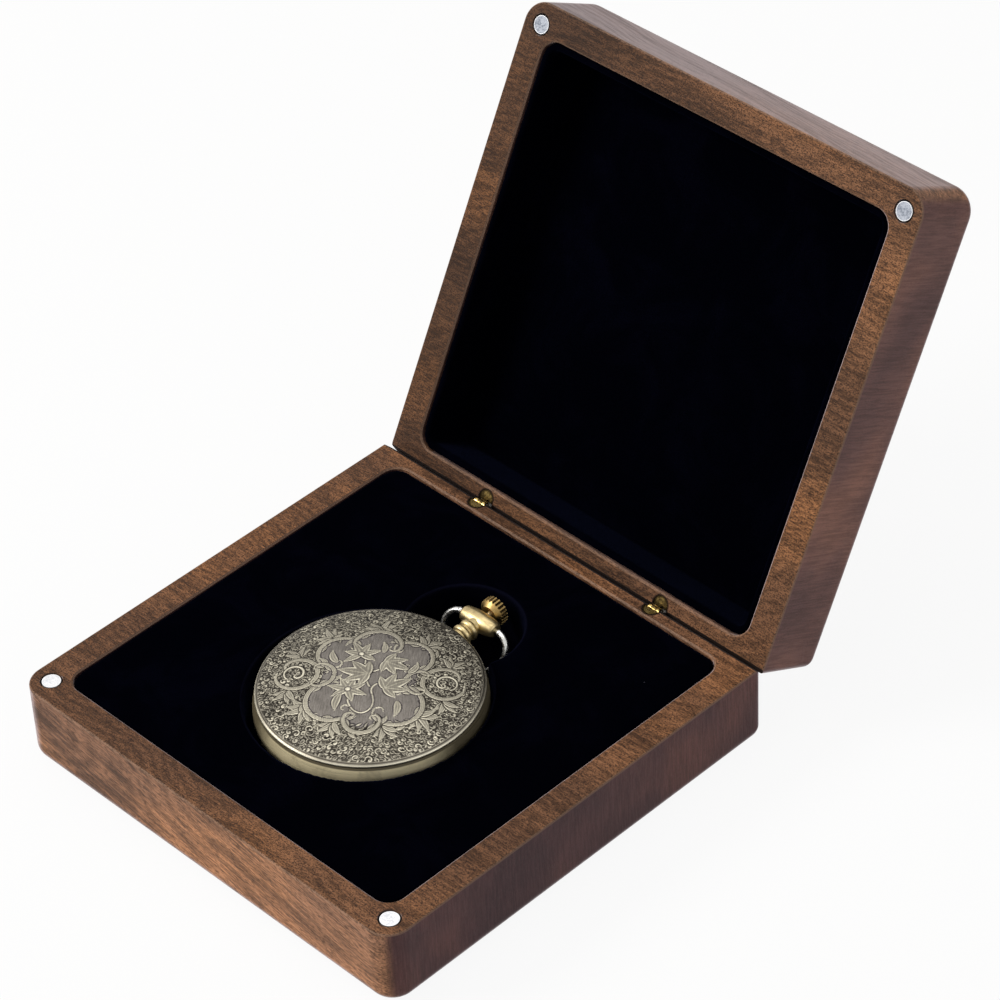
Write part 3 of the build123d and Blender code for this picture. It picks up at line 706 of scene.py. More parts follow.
def dialEnamel(v):
    m = blank("dialEnamel")
    point = watchPoint(m)
    x, y, _ = axes(m, point)
    radius = fromAxis(m, x, y)
    angle = calc(m, "ARCTAN2", y, x)

    def bars(count, halfWidth, low, high):
        turned = times(m, angle, count / (2 * math.pi))
        off = unsigned(m, minus(m, turned, calc(m, "ROUND", turned)))
        run = times(m, times(m, off, 2 * math.pi / count), radius)
        within = times(m, calc(m, "GREATER_THAN", radius, low), calc(m, "LESS_THAN", radius, high))
        return times(m, calc(m, "LESS_THAN", run, halfWidth), within)

    lineRadius, lineWidth = v["ringLine"]
    ringLine = calc(m, "LESS_THAN", unsigned(m, minus(m, radius, lineRadius)), lineWidth)
    ink = larger(m, larger(m, bars(*v["minuteBars"]), bars(*v["hourBars"])), ringLine)
    cloud = noise(m, point, *v["cloud"])
    plain = blendColour(m, span(m, cloud, 0.35, 0.7, 0.0, 0.3), v["tone"], v["second"])
    finish(m, blendColour(m, ink, plain, v["ink"]), cloud, v["roughness"], 0.05, 0.08, 0.0)
    bump(m, plus(m, cloud, ink), *v["bump"])
    return m["mat"]


paint(dialEnamel(dialValues), "watch_dial")

# moulded plastic of the works
plasticValues = {  # tone, roughness, grain size
    "ringPlastic": ((0.55, 0.55, 0.52), 0.45, 300),
    "worksPlastic": ((0.05, 0.05, 0.055), 0.40, 350),
}


def moulded(name, tone, roughness, grain):
    m = blank(name)
    point = objectPoint(m)
    cloud = noise(m, point, grain, 4.0, 0.6)
    fine = noise(m, point, grain * 9, 2.0, 0.5)
    darker = tuple(c * 0.6 for c in tone)
    finish(m, blendColour(m, span(m, cloud, 0.35, 0.7), tone, darker), fine, roughness, 0.05, 0.1, 0.0)
    bump(m, fine, 0.00002, 0.3)
    return m["mat"]


paint(moulded("ringPlastic", *plasticValues["ringPlastic"]), "watch_spacer")
paint(moulded("worksPlastic", *plasticValues["worksPlastic"]), "watch_movement")

# the crystal over the dial, with a trace of haze
crystalValues = {
    "tint": [(0.3, (0.94, 0.96, 0.97)), (0.7, (0.99, 1.0, 1.0))],
    "ior": 1.5,
    "roughness": (0.02, 0.06),
    "haze": (500, 3.0, 0.5),
}


def crystalGlass(v):
    m = blank("crystalGlass")
    haze = noise(m, objectPoint(m), *v["haze"])
    m["shader"].inputs["Transmission Weight"].default_value = 1.0
    m["shader"].inputs["IOR"].default_value = v["ior"]
    feed(m, ramp(m, haze, v["tint"]), "Base Color")
    feed(m, span(m, haze, 0.3, 0.7, *v["roughness"]), "Roughness")
    return m["mat"]


paint(crystalGlass(crystalValues), "watch_crystal")
print("metal, dial and glass finished")

# velvet: a near black blue nap with soft crush marks, a little sheen, a painted highlight round each
# opening and a few specks of dust
velvetValues = {
    "tone": (0.0004, 0.0005, 0.0016),
    "crushed": (0.0008, 0.0009, 0.0030),
    "openingHighlight": (0.0045, 0.0048, 0.0120),
    "openingHighlightLine": (0.0001, 0.00045, 0.55, 0.0),
    "openingHighlightGap": 0.0003,
    "dust": (0.06, 0.06, 0.08),
    "dustPitch": 150,
    "dustSize": (0.010, 0.020, 1.0, 0.0),
    "dustChosen": (0.70, 0.72),
    "sheen": 0.035,
    "sheenRoughness": 0.35,
    "sheenTint": (0.20, 0.28, 0.75),
    "crush": (60, 4.0, 0.6, 0.8),
    "nap": (4200, 2.0, 0.6),
    "napLight": [(0.3, 0.55), (0.7, 1.4)],
    "bump": (0.00012, 0.6),
}


def velvetCloth(name, v, seed, circles=()):
    m = blank(name)
    point = mapped(m, objectPoint(m), move=seed)
    crush = noise(m, point, *v["crush"])
    nap = noise(m, point, *v["nap"])
    tone = blendColour(m, span(m, crush, 0.42, 0.68), v["tone"], v["crushed"])
    tone = blendColour(m, 1.0, tone, ramp(m, nap, v["napLight"]), "MULTIPLY")
    # a faint paler line round each opening, a painted highlight on its edge
    for cx, cy, cr in circles:
        away = mapped(m, objectPoint(m), (1, 1, 0), move=(-cx, -cy, 0))
        length = m["nodes"].new("ShaderNodeVectorMath")
        length.operation = "LENGTH"
        m["links"].new(away, length.inputs[0])
        off = unsigned(m, minus(m, length.outputs["Value"], cr + v["openingHighlightGap"]))
        tone = blendColour(m, span(m, off, *v["openingHighlightLine"]), tone, v["openingHighlight"])
    speck = span(m, cells(m, point, v["dustPitch"]), *v["dustSize"])
    chosen = span(m, axes(m, cells(m, point, v["dustPitch"], "Color"))[0], *v["dustChosen"])
    feed(m, blendColour(m, times(m, speck, chosen), tone, v["dust"]), "Base Color")
    s = m["shader"].inputs
    s["Roughness"].default_value = 1.0
    s["Specular IOR Level"].default_value = 0.0
    s["Sheen Weight"].default_value = v["sheen"]
    s["Sheen Roughness"].default_value = v["sheenRoughness"]
    s["Sheen Tint"].default_value = (*v["sheenTint"], 1)
    bump(m, plus(m, nap, times(m, crush, 0.6)), *v["bump"])
    return m["mat"]


def workMode(kind):
    bpy.ops.object.mode_set(mode=kind)


def activate(obj):
    bpy.ops.object.select_all(action="DESELECT")
    obj.select_set(True)
    bpy.context.view_layer.objects.active = obj


def addModifier(obj, kind, **settings):
    activate(obj)
    mod = obj.modifiers.new(kind.lower(), kind)
    for key, value in settings.items():
        setattr(mod, key, value)
    bpy.ops.object.modifier_apply(modifier=mod.name)


def cutAway(obj, tool):
    addModifier(obj, "BOOLEAN", operation="DIFFERENCE", object=tool, solver="EXACT")
    bpy.data.objects.remove(tool)


def soften(obj, v):
    # one even skin over the cut block, its edges rounded by smoothing
    addModifier(obj, "REMESH", mode="VOXEL", voxel_size=v["voxel"], use_smooth_shade=True)
    addModifier(obj, "SMOOTH", factor=v["softShare"], iterations=v["softPasses"])


def dress(obj, mat):
    activate(obj)
    bpy.ops.object.shade_smooth()
    obj.data.materials.clear()
    obj.data.materials.append(mat)


def roundedBlock(name, low, high, v, inset=0.0):
    # a block of the piece's size whose four upright edges are rounded
    wide, deep = v["size"]
    bpy.ops.object.select_all(action="DESELECT")
    bpy.ops.mesh.primitive_cube_add(size=1, location=(*v["middle"], (high + low) / 2))
    obj = bpy.context.object
    obj.name = name
    obj.scale = (wide - 2 * inset, deep - 2 * inset, high - low)
    bpy.ops.object.transform_apply(location=True, rotation=True, scale=True)
    workMode("EDIT")
    bpy.ops.mesh.select_mode(type="EDGE")
    bpy.ops.mesh.select_all(action="DESELECT")
    workMode("OBJECT")
    points = obj.data.vertices
    for e in obj.data.edges:
        a, b = [points[i].co for i in e.vertices]
        e.select = abs(a.z - b.z) > (high - low) / 2
    workMode("EDIT")
    bpy.ops.mesh.bevel(offset=v["corner"] - inset, segments=7, affect="EDGES")
    workMode("OBJECT")
    return obj


def cutDisc(obj, centre, radius, low, high):
    place = (*centre, (low + high) / 2)
    bpy.ops.object.select_all(action="DESELECT")
    bpy.ops.mesh.primitive_cylinder_add(vertices=128, radius=radius, depth=high - low, location=place)
    tool = bpy.context.object
    bpy.ops.object.transform_apply(location=True, rotation=True, scale=True)
    cutAway(obj, tool)


def readPoints(obj):
    co = np.empty(len(obj.data.vertices) * 3)
    obj.data.vertices.foreach_get("co", co)
    return co.reshape(-1, 3)


def writePoints(obj, co):
    obj.data.vertices.foreach_set("co", np.ascontiguousarray(co).reshape(-1))
    obj.data.update()


def slowWave(x, y, seed, count=9, fullTurn=6.28):
    # a smooth uneven surface from a few crossing waves
    rng = np.random.default_rng(seed)
    out = np.zeros_like(x)
    for _ in range(count):
        angle, phase, length = rng.uniform(0, fullTurn), rng.uniform(0, fullTurn), rng.uniform(0.011, 0.034)
        out += np.sin((x * math.cos(angle) + y * math.sin(angle)) * fullTurn / length + phase) / count
    return out


# both velvet pieces fill a cavity of one size
cavityValues = {
    "size": (0.0943, 0.0931),
    "middle": (0.0, 0.0010),
    "corner": 0.00385,
    "cutPast": 0.01,  # how far a cutter stands past the face it cuts
    "voxel": 0.00062,
    "softShare": 0.5,
    "ripple": 0.00012,
}

# the padded insert: foam under velvet, with the round nest and the deep well for crown and bow
padValues = {
    **cavityValues,
    "low": 0.0045,
    "high": 0.0187,
    "nest": (0.0005, -0.0065),
    "nestRadius": 0.0252,
    "nestFloor": 0.0103,
    "well": (0.0002, 0.02075),
    "wellRadius": 0.0125,
    "wellFloor": 0.0055,
    "softPasses": 7,
    "rippleSeed": 5,
    "rippleFrom": 0.0012,  # below the top, full strength after the next length
    "rippleOver": 0.0010,
    "fill": 0.85,
}


def makeNestPad(v):
    high, past = v["high"], v["high"] + v["cutPast"]
    pad = roundedBlock("nestPad", v["low"], high, v)
    cutDisc(pad, v["nest"], v["nestRadius"], v["nestFloor"], past)
    cutDisc(pad, v["well"], v["wellRadius"], v["wellFloor"], past)
    soften(pad, v)
    co = readPoints(pad)
    # the nap lies uneven on the top; walls and floors stay where they are
    top = np.clip((co[:, 2] - (high - v["rippleFrom"])) / v["rippleOver"], 0, 1)
    co[:, 2] += top * (slowWave(co[:, 0], co[:, 1], v["rippleSeed"]) * v["ripple"] - v["ripple"])
    writePoints(pad, co)
    openings = ((*v["nest"], v["nestRadius"]), (*v["well"], v["wellRadius"]))
    dress(pad, velvetCloth("nestVelvet", velvetValues, (0.0, 0.0, 0.0), openings))
    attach(pad, "base")
    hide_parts("insert_velvet", "insert_foam")
    return pad


# the lid's lined tray: velvet over the board's lip and walls, with a softly padded back
liningValues = {
    **cavityValues,
    "low": 0.0194,
    "high": 0.0329,
    "wall": 0.0016,
    "ceiling": 0.0310,
    "softPasses": 3,
    "cushion": 0.0005,
    "cushionPower": 6,
    "rippleSeed": 8,
    "backBand": 0.0008,
    "backFade": (0.0006, 0.0004),
    "fill": 0.7,
}


def makeLidLining(v):
    ceiling, band = v["ceiling"], v["backBand"]
    lining = roundedBlock("lidLining", v["low"], v["high"], v)
    cutAway(lining, roundedBlock("hollow", v["low"] - v["cutPast"], ceiling, v, v["wall"]))
    soften(lining, v)
    co = readPoints(lining)
    # the padded back swells a little toward the middle
    across = [np.abs(co[:, k] - v["middle"][k]) / ((v["size"][k] - 2 * v["wall"]) / 2) for k in (0, 1)]
    swell = np.prod([np.clip(1 - a ** v["cushionPower"], 0, 1) for a in across], 0)
    back = np.clip((co[:, 2] - (ceiling - band)) / v["backFade"][0], 0, 1)
    back = back * np.clip((ceiling + band - co[:, 2]) / v["backFade"][1], 0, 1)
    wave = slowWave(co[:, 0], co[:, 1], v["rippleSeed"])
    co[:, 2] -= back * swell * (v["cushion"] + v["ripple"] * wave)
    writePoints(lining, co)
    lining.data.transform(openLid)
    dress(lining, velvetCloth("lidVelvet", velvetValues, (0.3, 0.1, 0.2)))
    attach(lining, "lid")
    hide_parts("lid_velvet", "lid_tray")
    return lining


makeNestPad(padValues)
makeLidLining(liningValues)
print("velvet pieces made")

# how a drawn shape stands off the cover; lengths are millimetres, heights are shares of the relief; its
# tones are painted light and shade, dark in the cut round it, lighter on its raised back, rim and vein and
# on higher shapes
strokeValues = {
    "margin": 0.35,
    "far": 9.0,
    "moat": 0.13,  # the cut round each shape
    "moatHeight": -0.15,
    # painted shade in the cut round each shape
    "moatShadeTone": 0.04,
    "thinnest": 0.12,
    "wireHeight": (0.35, 0.65),  # edge, rise of the round back
    "wireLightAndShade": (0.46, 0.44),
    "leafHeight": (0.42, 0.18, 0.42),  # edge, swell of the blade, rise of rim and vein
    "leafLightAndShade": (0.47, 0.50),
    "rim": (0.84, 0.13),  # place and width, in shares of the half width
    "vein": 0.085,
    "veinHeight": 0.8,
    "veinHighlight": 0.70,
    "levelLight": (0.55, 0.45),
}


def bezier(a, b, c, d, n=40):
    t = np.linspace(0, 1, n)[:, None]
    a, b, c, d = [np.array(p, float) for p in (a, b, c, d)]
    return a * (1 - t) ** 3 + 3 * b * t * (1 - t) ** 2 + 3 * c * t * t * (1 - t) + d * t ** 3


def curl(x, y, heading, bend, turn, tighten, step=0.12):
    # walks on with an ever tighter bend, until it has turned by turn degrees
    points, total = [], 0.0
    while total < math.radians(turn):
        x += step * math.cos(heading)
        y += step * math.sin(heading)
        heading += bend * step
        total += abs(bend) * step
        bend *= 1 + tighten * step
        points.append((x, y))
    return points


def scroll(cx, cy, r, start, end, curlStart, curlEnd, tighten=0.45):
    # an arc about a centre that rolls up at both ends; angles in degrees, a minus curl rolls outward
    steps = max(8, int(abs(end - start) * math.radians(1) * r / 0.2))
    angles = np.radians(np.linspace(start, end, steps))
    arc = [(cx + r * math.cos(a), cy + r * math.sin(a)) for a in angles]
    way = 1 if end > start else -1
    quarter = way * math.pi / 2
    bendStart, bendEnd = [way * math.copysign(1 / r, a) for a in (curlStart, curlEnd)]
    head = curl(*arc[-1], angles[-1] + quarter, bendEnd, abs(curlEnd), tighten)
    tail = curl(*arc[0], angles[0] - quarter, -bendStart, abs(curlStart), tighten)
    return np.array(tail[::-1] + arc + head)


def swelling(path, widest, ends=0.3, power=0.7):
    t = np.linspace(0, 1, len(path))
    return widest * (ends + (1 - ends) * np.sin(np.pi * t) ** power)


def profile(kind, share, spine, v):
    # height and tone across a stroke: share runs from 0 on its line to 1 at its edge; the tone is painted
    # light, brighter on the round back, the rim and the vein
    back = 1 - share ** 2
    if kind == "wire":
        foot, rise = v["wireHeight"]
        dark, light = v["wireLightAndShade"]
        return foot + rise * np.sqrt(back), dark + light * np.sqrt(back)
    rim = np.exp(-((share - v["rim"][0]) / v["rim"][1]) ** 2)
    vein = np.exp(-(spine / v["vein"]) ** 2)
    foot, blade, rise = v["leafHeight"]
    dark, light = v["leafLightAndShade"]
    height = foot + blade * back + rise * np.maximum(rim, v["veinHeight"] * vein)
    return height, dark + light * np.maximum(rim, v["veinHighlight"] * vein)


def drawShape(plate, strokes, kind, level=1.0):
    # strokes: list of (path, half widths); the nearest one wins, and the shape covers what is under it
    v = strokeValues
    low = np.min([(p - w[:, None]).min(0) for p, w in strokes], 0) - v["margin"]
    high = np.max([(p + w[:, None]).max(0) for p, w in strokes], 0) + v["margin"]
    n, step, field = plate["n"], plate["step"], plate["field"]
    (i0, i1), (j0, j1) = [
        [int(np.clip((a + field) / step, 0, n - 1)) for a in (low[k], high[k] + step)] for k in (0, 1)
    ]
    if i1 <= i0 or j1 <= j0:
        return
    gridX, gridY = np.meshgrid(np.arange(i0, i1 + 1) * step - field, np.arange(j0, j1 + 1) * step - field)
    share = np.full(gridX.shape, v["far"])
    spine = np.full(gridX.shape, v["far"])
    for path, widths in strokes:
        for (px, py), w in zip(path, widths):
            away = np.hypot(gridX - px, gridY - py)
            share = np.minimum(share, away / w)
            spine = np.minimum(spine, away)
    inside = share < 1
    width = max(v["thinnest"], np.mean([w.mean() for _, w in strokes]))
    moat = ~inside & (spine < v["far"]) & (share < 1 + v["moat"] / width)
    height, tone = profile(kind, np.clip(share, 0, 1), spine, v)
    heights, tones = [plate[key][j0:j1 + 1, i0:i1 + 1] for key in ("height", "tone")]
    heights[inside] = (height * level)[inside]
    tones[inside] = (tone * (v["levelLight"][0] + v["levelLight"][1] * level))[inside]
    heights[moat] = np.minimum(heights[moat], v["moatHeight"])
    # painted shade in the moat
    tones[moat] = np.minimum(tones[moat], v["moatShadeTone"])


def leaf(x, y, angle, length, width, bendBy=0.0, n=26):
    # one leaf or petal from its foot, curving by bendBy degrees
    heading = math.radians(angle)
    points = [(x, y)]
    for _ in range(n - 1):
        heading += math.radians(bendBy) / n
        x += math.cos(heading) * length / n
        y += math.sin(heading) * length / n
        points.append((x, y))
    t = np.linspace(0, 1, n)
    widths = width * np.clip(np.sin(np.pi * (0.10 + 0.88 * t) ** 0.8), 0.10, 1)
    return np.array(points), widths


def flower(x, y, angle, size, petals=6, openness=300):
    shape = []
    for k in range(petals):
        turned = angle + (k - (petals - 1) / 2) * openness / petals
        shape.append(leaf(x, y, turned, size * (1.0 if k % 2 else 0.86), size * 0.19))
    return shape


def lobedLeaf(x, y, angle, size):
    lobes = [(0, 1.0, 0.19), (36, 0.80, 0.17), (-36, 0.80, 0.17), (80, 0.58, 0.15), (-80, 0.58, 0.15)]
    return [leaf(x, y, angle + a, size * k, size * w) for a, k, w in lobes]


def acanthus(x, y, angle, size, count=5, spread=26, bendBy=35):
    shape = []
    for k in range(count):
        off = k - (count - 1) / 2
        length = size * (1 - 0.10 * abs(off))
        way = 1 if k >= count / 2 else -1
        shape.append(leaf(x, y, angle + off * spread, length, size * 0.14, bendBy * way))
    return shape


# the engraving's drawing, in millimetres about the cover's centre, angles in degrees
drawingValues = {
    "seed": 11,
    "ground": (-0.12, 0.20),  # height and tone outside the cartouche
    "calmTone": 0.42,
    "leafPitch": 0.95,
    "curlPitch": 1.34,
    "rowShare": 0.87,  # row spacing, in pitches
    "jitter": 0.28,
    "groundEdge": 0.2,
    "overlap": 0.4,  # how far the ground's scrollwork runs into the cartouche
    "groundLeaf": {"length": (0.9, 1.6), "width": (0.20, 0.30), "bend": (-90, 90), "level": (0.10, 0.60)},
    "groundCurl": {
        "radius": (0.34, 0.74), "arc": (110, 190), "start": (-60, 40), "end": (280, 400),
        "tighten": 1.2, "width": (0.10, 0.18), "level": (0.35, 1.05),
    },
    "cartouche": [  # centre, radius
        (0, 0, 9.6), (-6.2, -6.6, 5.9), (6.2, -6.6, 5.9), (-6.6, 6.6, 5.3), (6.6, 6.6, 5.3),
        (0, 9.4, 4.9), (0, -10.4, 3.6),
    ],
    "acanthus": [  # place, angle, size, leaves; drawn on both sides
        (11.2, -9.2, -38, 5.2, 5), (9.2, 11.2, 42, 4.6, 5), (15.8, -4.6, -70, 4.2, 4),
        (15.4, 5.4, 70, 4.0, 4), (5.0, -13.2, -66, 4.4, 4),
    ],
    "frame": [  # centre, radius, start, end, curls at start and end, width, tightness
        (-6.3, -7.0, 5.5, 128, 286, 270, 340, 0.34, 0.30), (6.3, -7.0, 5.5, 52, -106, 340, 270, 0.34, 0.30),
        (-6.8, 6.9, 4.9, 226, 84, 300, 260, 0.32, 0.32), (6.8, 6.9, 4.9, -46, 96, 260, 300, 0.32, 0.32),
        (0.0, 9.6, 5.0, 32, 146, 290, 230, 0.36, 0.34), (0.3, -11.6, 3.7, 204, 330, 320, 280, 0.34, 0.40),
        (-10.6, 0.2, 3.4, -56, 58, 200, 160, 0.30, 0.40), (10.6, -0.2, 3.4, 236, 122, 160, 200, 0.30, 0.40),
    ],
    "frameSwell": 1.4,
    "frameLeaves": ((0.30, 1), (0.46, -1), (0.60, 1), (0.74, -1)),  # share of the scroll's length, side
    "stems": [
        ((-2.6, -8.4), (-0.4, -12.2), (3.4, -9.2), (1.2, -4.6)),
        ((1.2, -4.6), (0.2, -2.2), (2.6, -0.8), (4.2, -1.6)),
        ((-3.4, -4.4), (-3.6, -7.2), (-2.9, -7.8), (-2.6, -8.4)),
        ((0.2, 1.6), (1.8, 2.2), (2.8, 3.6), (2.6, 5.6)),
        ((-1.4, 2.2), (-1.7, 4.4), (-1.5, 6.0), (-1.7, 7.6)),
        ((0.2, 1.6), (-0.6, 0.2), (-0.8, -1.0), (0.4, -2.6)),
    ],
    "stemWidth": 0.20,
    "leaves": [  # place, angle, length, half width, bend
        (-5.2, -5.6, 248, 4.6, 0.85, 40), (6.6, -6.4, 290, 4.2, 0.75, -40), (7.6, 2.4, 40, 4.0, 0.70, 60),
        (-7.4, 4.2, 140, 4.2, 0.75, -60), (1.6, 8.0, 80, 3.6, 0.65, 40),
    ],
    "hearts": [(-3.8, -3.8), (-2.8, 6.9)],
    "heartWidth": 0.55,
}


def insideCartouche(v, x, y, grow=0.0):
    inside = np.zeros(np.shape(x), bool)
    for cx, cy, r in v["cartouche"]:
        inside |= np.hypot(x - cx, y - cy) < r + grow
    return inside


def groundCurl(plate, rng, v, x, y, angle):
    way = rng.choice((-1, 1))
    r = rng.uniform(*v["radius"])
    end = angle + way * rng.uniform(*v["arc"])
    path = scroll(x, y, r, angle, end, rng.uniform(*v["start"]), rng.uniform(*v["end"]), v["tighten"])
    widths = swelling(path, rng.uniform(*v["width"]), 0.5)
    drawShape(plate, [(path, widths)], "wire", rng.uniform(*v["level"]))


def groundLeaf(plate, rng, v, x, y, angle):
    length, width, bendBy = rng.uniform(*v["length"]), rng.uniform(*v["width"]), rng.uniform(*v["bend"])
    drawShape(plate, [leaf(x, y, angle, length, width, bendBy, 12)], "wire", rng.uniform(*v["level"]))


def drawGround(plate, v):
    # close scrollwork over everything outside the cartouche: small leaves below, curls above
    field, jitter = plate["field"], v["jitter"]
    rng = random.Random(v["seed"])
    layers = ((v["leafPitch"], groundLeaf, v["groundLeaf"]), (v["curlPitch"], groundCurl, v["groundCurl"]))
    for pitch, draw, settings in layers:
        rows = int(2 * field / (pitch * v["rowShare"])) + 1
        for j in range(rows):
            for i in range(int(2 * field / pitch) + 1):
                x = -field + (i + 0.5 * (j % 2)) * pitch + rng.uniform(-jitter, jitter)
                y = -field + j * pitch * v["rowShare"] + rng.uniform(-jitter, jitter)
                if math.hypot(x, y) > field - v["groundEdge"] or insideCartouche(v, x, y, -v["overlap"]):
                    continue
                draw(plate, rng, settings, x, y, rng.uniform(0, 360))


def drawSides(plate, v):
    # acanthus behind the frame, then a roundel on each side
    for side in (-1, 1):
        for x, y, angle, size, count in v["acanthus"]:
            turned = angle if side == 1 else 180 - angle
            for one in acanthus(side * x, y, turned, size, count):
                drawShape(plate, [one], "leaf", 0.9)
    for one in acanthus(0, 14.6, 90, 4.6, 5, 30):
        drawShape(plate, [one], "leaf", 0.9)
    for side in (-1, 1):
        facing = 0 if side == 1 else 180
        ring = scroll(side * 15.0, 0.4, 4.3, facing + side * 95, facing + side * 325, 150, 60, 0.25)
        drawShape(plate, [(ring, swelling(ring, 0.48, 0.35))], "leaf", 1.0)
        small = scroll(side * 15.6, 0.6, 2.0, facing - side * 30, facing + side * 180, 40, 300, 0.5)
        drawShape(plate, [(small, swelling(small, 0.26, 0.4))], "wire", 0.95)


def drawFrame(plate, v):
    for cx, cy, r, start, end, curlStart, curlEnd, width, tighten in v["frame"]:
        path = scroll(cx, cy, r, start, end, curlStart, curlEnd, tighten)
        # leaves break away from the scroll on both sides
        for share, side in v["frameLeaves"]:
            k = int(share * (len(path) - 3))
            along = math.degrees(math.atan2(*(path[k + 2] - path[k])[::-1]))
            drawShape(plate, [leaf(*path[k], along + side * 52, 3.0, 0.50, side * -60, 18)], "leaf", 0.95)
        drawShape(plate, [(path, swelling(path, width * v["frameSwell"], 0.30, 1.1))], "leaf", 1.0)


def drawMiddle(plate, v):
    # tendrils, flowers and leaves inside the frame
    for stem in v["stems"]:
        path = bezier(*stem)
        drawShape(plate, [(path, np.full(len(path), v["stemWidth"]))], "wire", 0.95)
    drawShape(plate, flower(-3.8, -3.8, 75, 4.5, 7, 330), "leaf", 1.0)
    drawShape(plate, lobedLeaf(3.6, -2.8, 35, 6.2), "leaf", 1.0)
    drawShape(plate, lobedLeaf(-0.6, 1.0, 172, 6.6), "leaf", 1.0)
    drawShape(plate, flower(-2.8, 6.9, 95, 4.4, 6, 300), "leaf", 1.0)
    drawShape(plate, lobedLeaf(2.6, 5.0, -20, 5.8), "leaf", 1.0)
    for one in v["leaves"]:
        drawShape(plate, [leaf(*one)], "leaf", 0.95)
    for x, y in v["hearts"]:
        dot = np.array([(x, y), (x + 0.05, y)])
        drawShape(plate, [(dot, np.full(2, v["heartWidth"]))], "wire", 1.1)


def engrave(field, step, v):
    # the plate holds height and tone on a square grid over the cover
    n = int(2 * field / step) + 2
    line = np.arange(n) * step - field
    calm = insideCartouche(v, *np.meshgrid(line, line))
    height, tone = v["ground"]
    plate = {
        "n": n, "step": step, "field": field, "calm": calm.astype(float),
        "height": np.where(calm, 0.0, height), "tone": np.where(calm, v["calmTone"], tone),
    }
    drawGround(plate, v)
    drawSides(plate, v)
    drawFrame(plate, v)
    drawMiddle(plate, v)
    return plate


def readPlate(plate, key, x, y):
    # bilinear look-up of the plate at points in millimetres
    values = plate[key]
    u = np.clip((x + plate["field"]) / plate["step"], 0, plate["n"] - 1.001)
    w = np.clip((y + plate["field"]) / plate["step"], 0, plate["n"] - 1.001)
    i, j = u.astype(int), w.astype(int)
    fu, fw = u - i, w - j
    return (values[j, i] * (1 - fu) * (1 - fw) + values[j, i + 1] * fu * (1 - fw)
            + values[j + 1, i] * (1 - fu) * fw + values[j + 1, i + 1] * fu * fw)


# the watch cover; sizes in millimetres, heights above the box's underside
coverValues = {
    "field": 22.7,
    "cells": 280,
    "step": 0.065,
    "turn": 35.0,
    "edge": 21.3,
    "peak": 23.4,
    "relief": 0.10,
    "fade": 0.25,  # the relief runs out over this width at the field's edge
    "rings": [  # radius, height: rolled rim, dark undercut, seat and the hollow underside
        (22.85, 21.24), (23.10, 21.10), (23.30, 20.90), (23.40, 20.62), (23.37, 20.58), (23.02, 20.56),
        (23.00, 20.31), (21.64, 20.30), (21.60, 20.36), (21.60, 20.58), (19.0, 21.15), (12.0, 22.05),
        (5.0, 22.6),
    ],
    "plainTone": 0.45,
    # painted light and shade on the rolled rim: a dark line inside it, then a painted highlight
    "rimLightAndShade": [(22.85, 0.15), (23.10, 0.50), (23.30, 0.90), (23.40, 0.60)],
    "ringReach": 0.02,
    "undercut": (22.9, 23.2, 20.6),  # inner and outer radius, height of the undercut, painted black as shade
    "tones": [
        (0.04, (0.014, 0.012, 0.010)), (0.26, (0.082, 0.073, 0.058)), (0.46, (0.225, 0.205, 0.165)),
        (0.76, (0.55, 0.51, 0.40)), (1.0, (0.84, 0.79, 0.64)),
    ],
    "coolTint": (0.92, 0.90, 1.10),
    "coolRange": (0.34, 0.5, 1.0, 0.0),
    "cloud": (170, 4.0, 0.6, 0.4),
    "cloudShare": 0.22,
    "grit": (3300, 3.0, 0.7),
    "gritShare": 0.22,
    "hatch": (1.0, 3.0, 0.6),
    "hatchShare": 0.42,
    "hatchScale": (420, 4600, 1),
    "hatchTurn": 0.9,
    "roughness": 0.42,
    "bump": (0.00004, 0.45),
}


def coverBronze(v):
    # bronze with painted shade in the cuts, painted highlights on the ridges and the rolled rim, mottled
    # tarnish and a cooler smooth middle
    m = blank("coverBronze")
    point = watchPoint(m)
    # the relief attribute carries the engraving's painted light and shade
    relief, calm = attribute(m, "relief"), attribute(m, "calm")
    cloud = noise(m, point, *v["cloud"])
    grit = noise(m, point, *v["grit"])
    paintedLightAndWear = plus(m, relief, times(m, minus(m, grit, 0.5), v["gritShare"]))
    paintedLightAndWear = plus(m, paintedLightAndWear, times(m, minus(m, cloud, 0.5), v["cloudShare"]))
    # the calm middle is hatched with fine lines
    turned = mapped(m, point, turn=(0, 0, v["hatchTurn"]))
    hatch = noise(m, mapped(m, turned, v["hatchScale"]), *v["hatch"])
    paintedLightAndWear = plus(m, paintedLightAndWear, times(m, times(m, minus(m, hatch, 0.5), v["hatchShare"]), calm))
    tone = ramp(m, paintedLightAndWear, v["tones"])
    cool = blendColour(m, 1.0, tone, v["coolTint"], "MULTIPLY")
    tone = blendColour(m, times(m, calm, span(m, relief, *v["coolRange"])), tone, cool)
    finish(m, tone, grit, v["roughness"])
    bump(m, plus(m, grit, times(m, cloud, 0.3)), *v["bump"])
    return m["mat"]


def squareToDisc(x, y):
    # the square grid is drawn into a disc, its squares kept nearly even
    wide = np.abs(x) >= np.abs(y)
    r = np.where(wide, x, y)
    with np.errstate(divide="ignore", invalid="ignore"):
        angle = np.where(wide, np.pi / 4 * y / x, np.pi / 2 - np.pi / 4 * x / y)
    angle = np.nan_to_num(angle)
    return r * np.cos(angle), r * np.sin(angle)


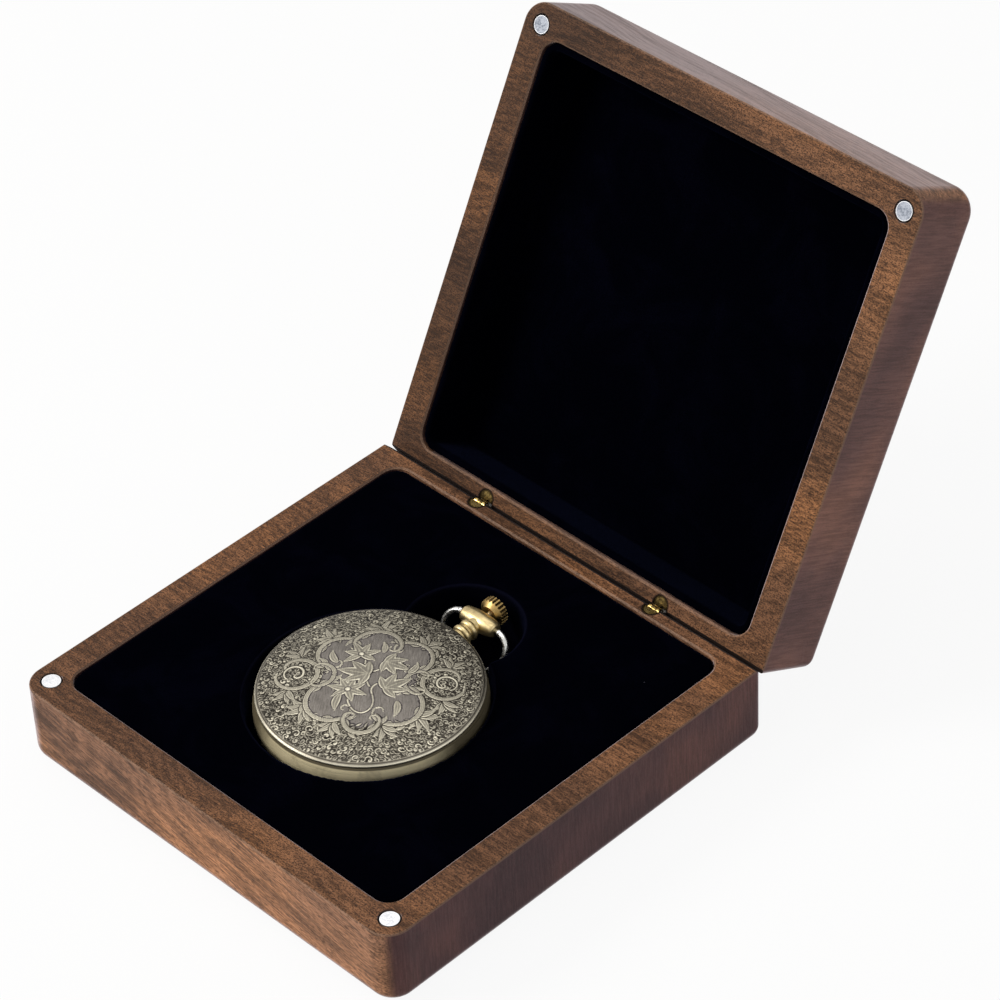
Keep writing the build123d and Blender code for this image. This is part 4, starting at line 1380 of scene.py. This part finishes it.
def turnRim(v):
    # rim rings are drawn out of the field's edge, one after another, with the hollow underside last
    workMode("EDIT")
    bpy.ops.mesh.select_mode(type="EDGE")
    bpy.ops.mesh.select_all(action="DESELECT")
    bpy.ops.mesh.select_non_manifold()
    before, height = v["field"], v["edge"]
    for ringRadius, ringHeight in v["rings"]:
        bpy.ops.mesh.extrude_region_move(TRANSFORM_OT_translate={"value": (0, 0, ringHeight - height)})
        k = ringRadius / before
        bpy.ops.transform.resize(value=(k, k, 1), center_override=(0, 0, 0))
        before, height = ringRadius, ringHeight
    bpy.ops.mesh.edge_face_add()
    bpy.ops.mesh.select_all(action="SELECT")
    bpy.ops.mesh.normals_make_consistent(inside=False)
    workMode("OBJECT")


def rimLightAndShade(co, v):
    # painted light and shade on the rim rings, and the undercut's painted shade
    tones = np.full(len(co), v["plainTone"])
    radius, height = np.hypot(co[:, 0], co[:, 1]), co[:, 2]
    inner, outer, top = v["undercut"]
    for ringRadius, value in v["rimLightAndShade"]:
        tones[(np.abs(radius - ringRadius) < v["ringReach"]) & (height > top)] = value
    cut = (radius > inner) & (radius < outer) & (height < top)
    return tones, cut


def makeEngravedCover(v):
    plate = engrave(v["field"], v["step"], drawingValues)
    bpy.ops.object.select_all(action="DESELECT")
    bpy.ops.mesh.primitive_grid_add(x_subdivisions=v["cells"], y_subdivisions=v["cells"], size=2)
    cover = bpy.context.object
    cover.name = "engravedCover"
    co = readPoints(cover)
    px, py = [a * v["field"] for a in squareToDisc(co[:, 0].copy(), co[:, 1].copy())]
    # the drawing is turned on the cover
    turn = -math.radians(v["turn"])
    ox, oy = px * math.cos(turn) - py * math.sin(turn), px * math.sin(turn) + py * math.cos(turn)
    relief, tone, calm = [readPlate(plate, key, ox, oy) for key in ("height", "tone", "calm")]
    radius = np.hypot(px, py)
    shown = np.clip((v["field"] - radius) / v["fade"], 0, 1)
    sag = v["peak"] - v["edge"]
    ball = (v["field"] ** 2 + sag ** 2) / (2 * sag)
    dome = v["peak"] - ball + np.sqrt(ball ** 2 - radius ** 2)
    writePoints(cover, np.stack([px, py, dome + relief * v["relief"] * shown], 1))
    turnRim(v)
    co = readPoints(cover)
    reliefAll, undercut = rimLightAndShade(co, v)
    reliefAll[:len(px)] = tone * shown + v["plainTone"] * (1 - shown)
    # painted shade: the undercut under the rim is black
    reliefAll[undercut] = 0.0
    calmAll = np.zeros(len(co))
    calmAll[:len(px)] = calm
    for name, values in (("relief", reliefAll), ("calm", calmAll)):
        layer = cover.data.attributes.new(name, "FLOAT", "POINT")
        layer.data.foreach_set("value", values)
    turned = Matrix.Rotation(watch["turn"], 4, "Z")
    cover.data.transform(Matrix.Translation(watch["place"]) @ turned @ Matrix.Scale(0.001, 4))
    dress(cover, coverBronze(v))
    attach(cover, "base")
    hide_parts("watch_front_cover")
    return cover


makeEngravedCover(coverValues)
print("engraved cover made")
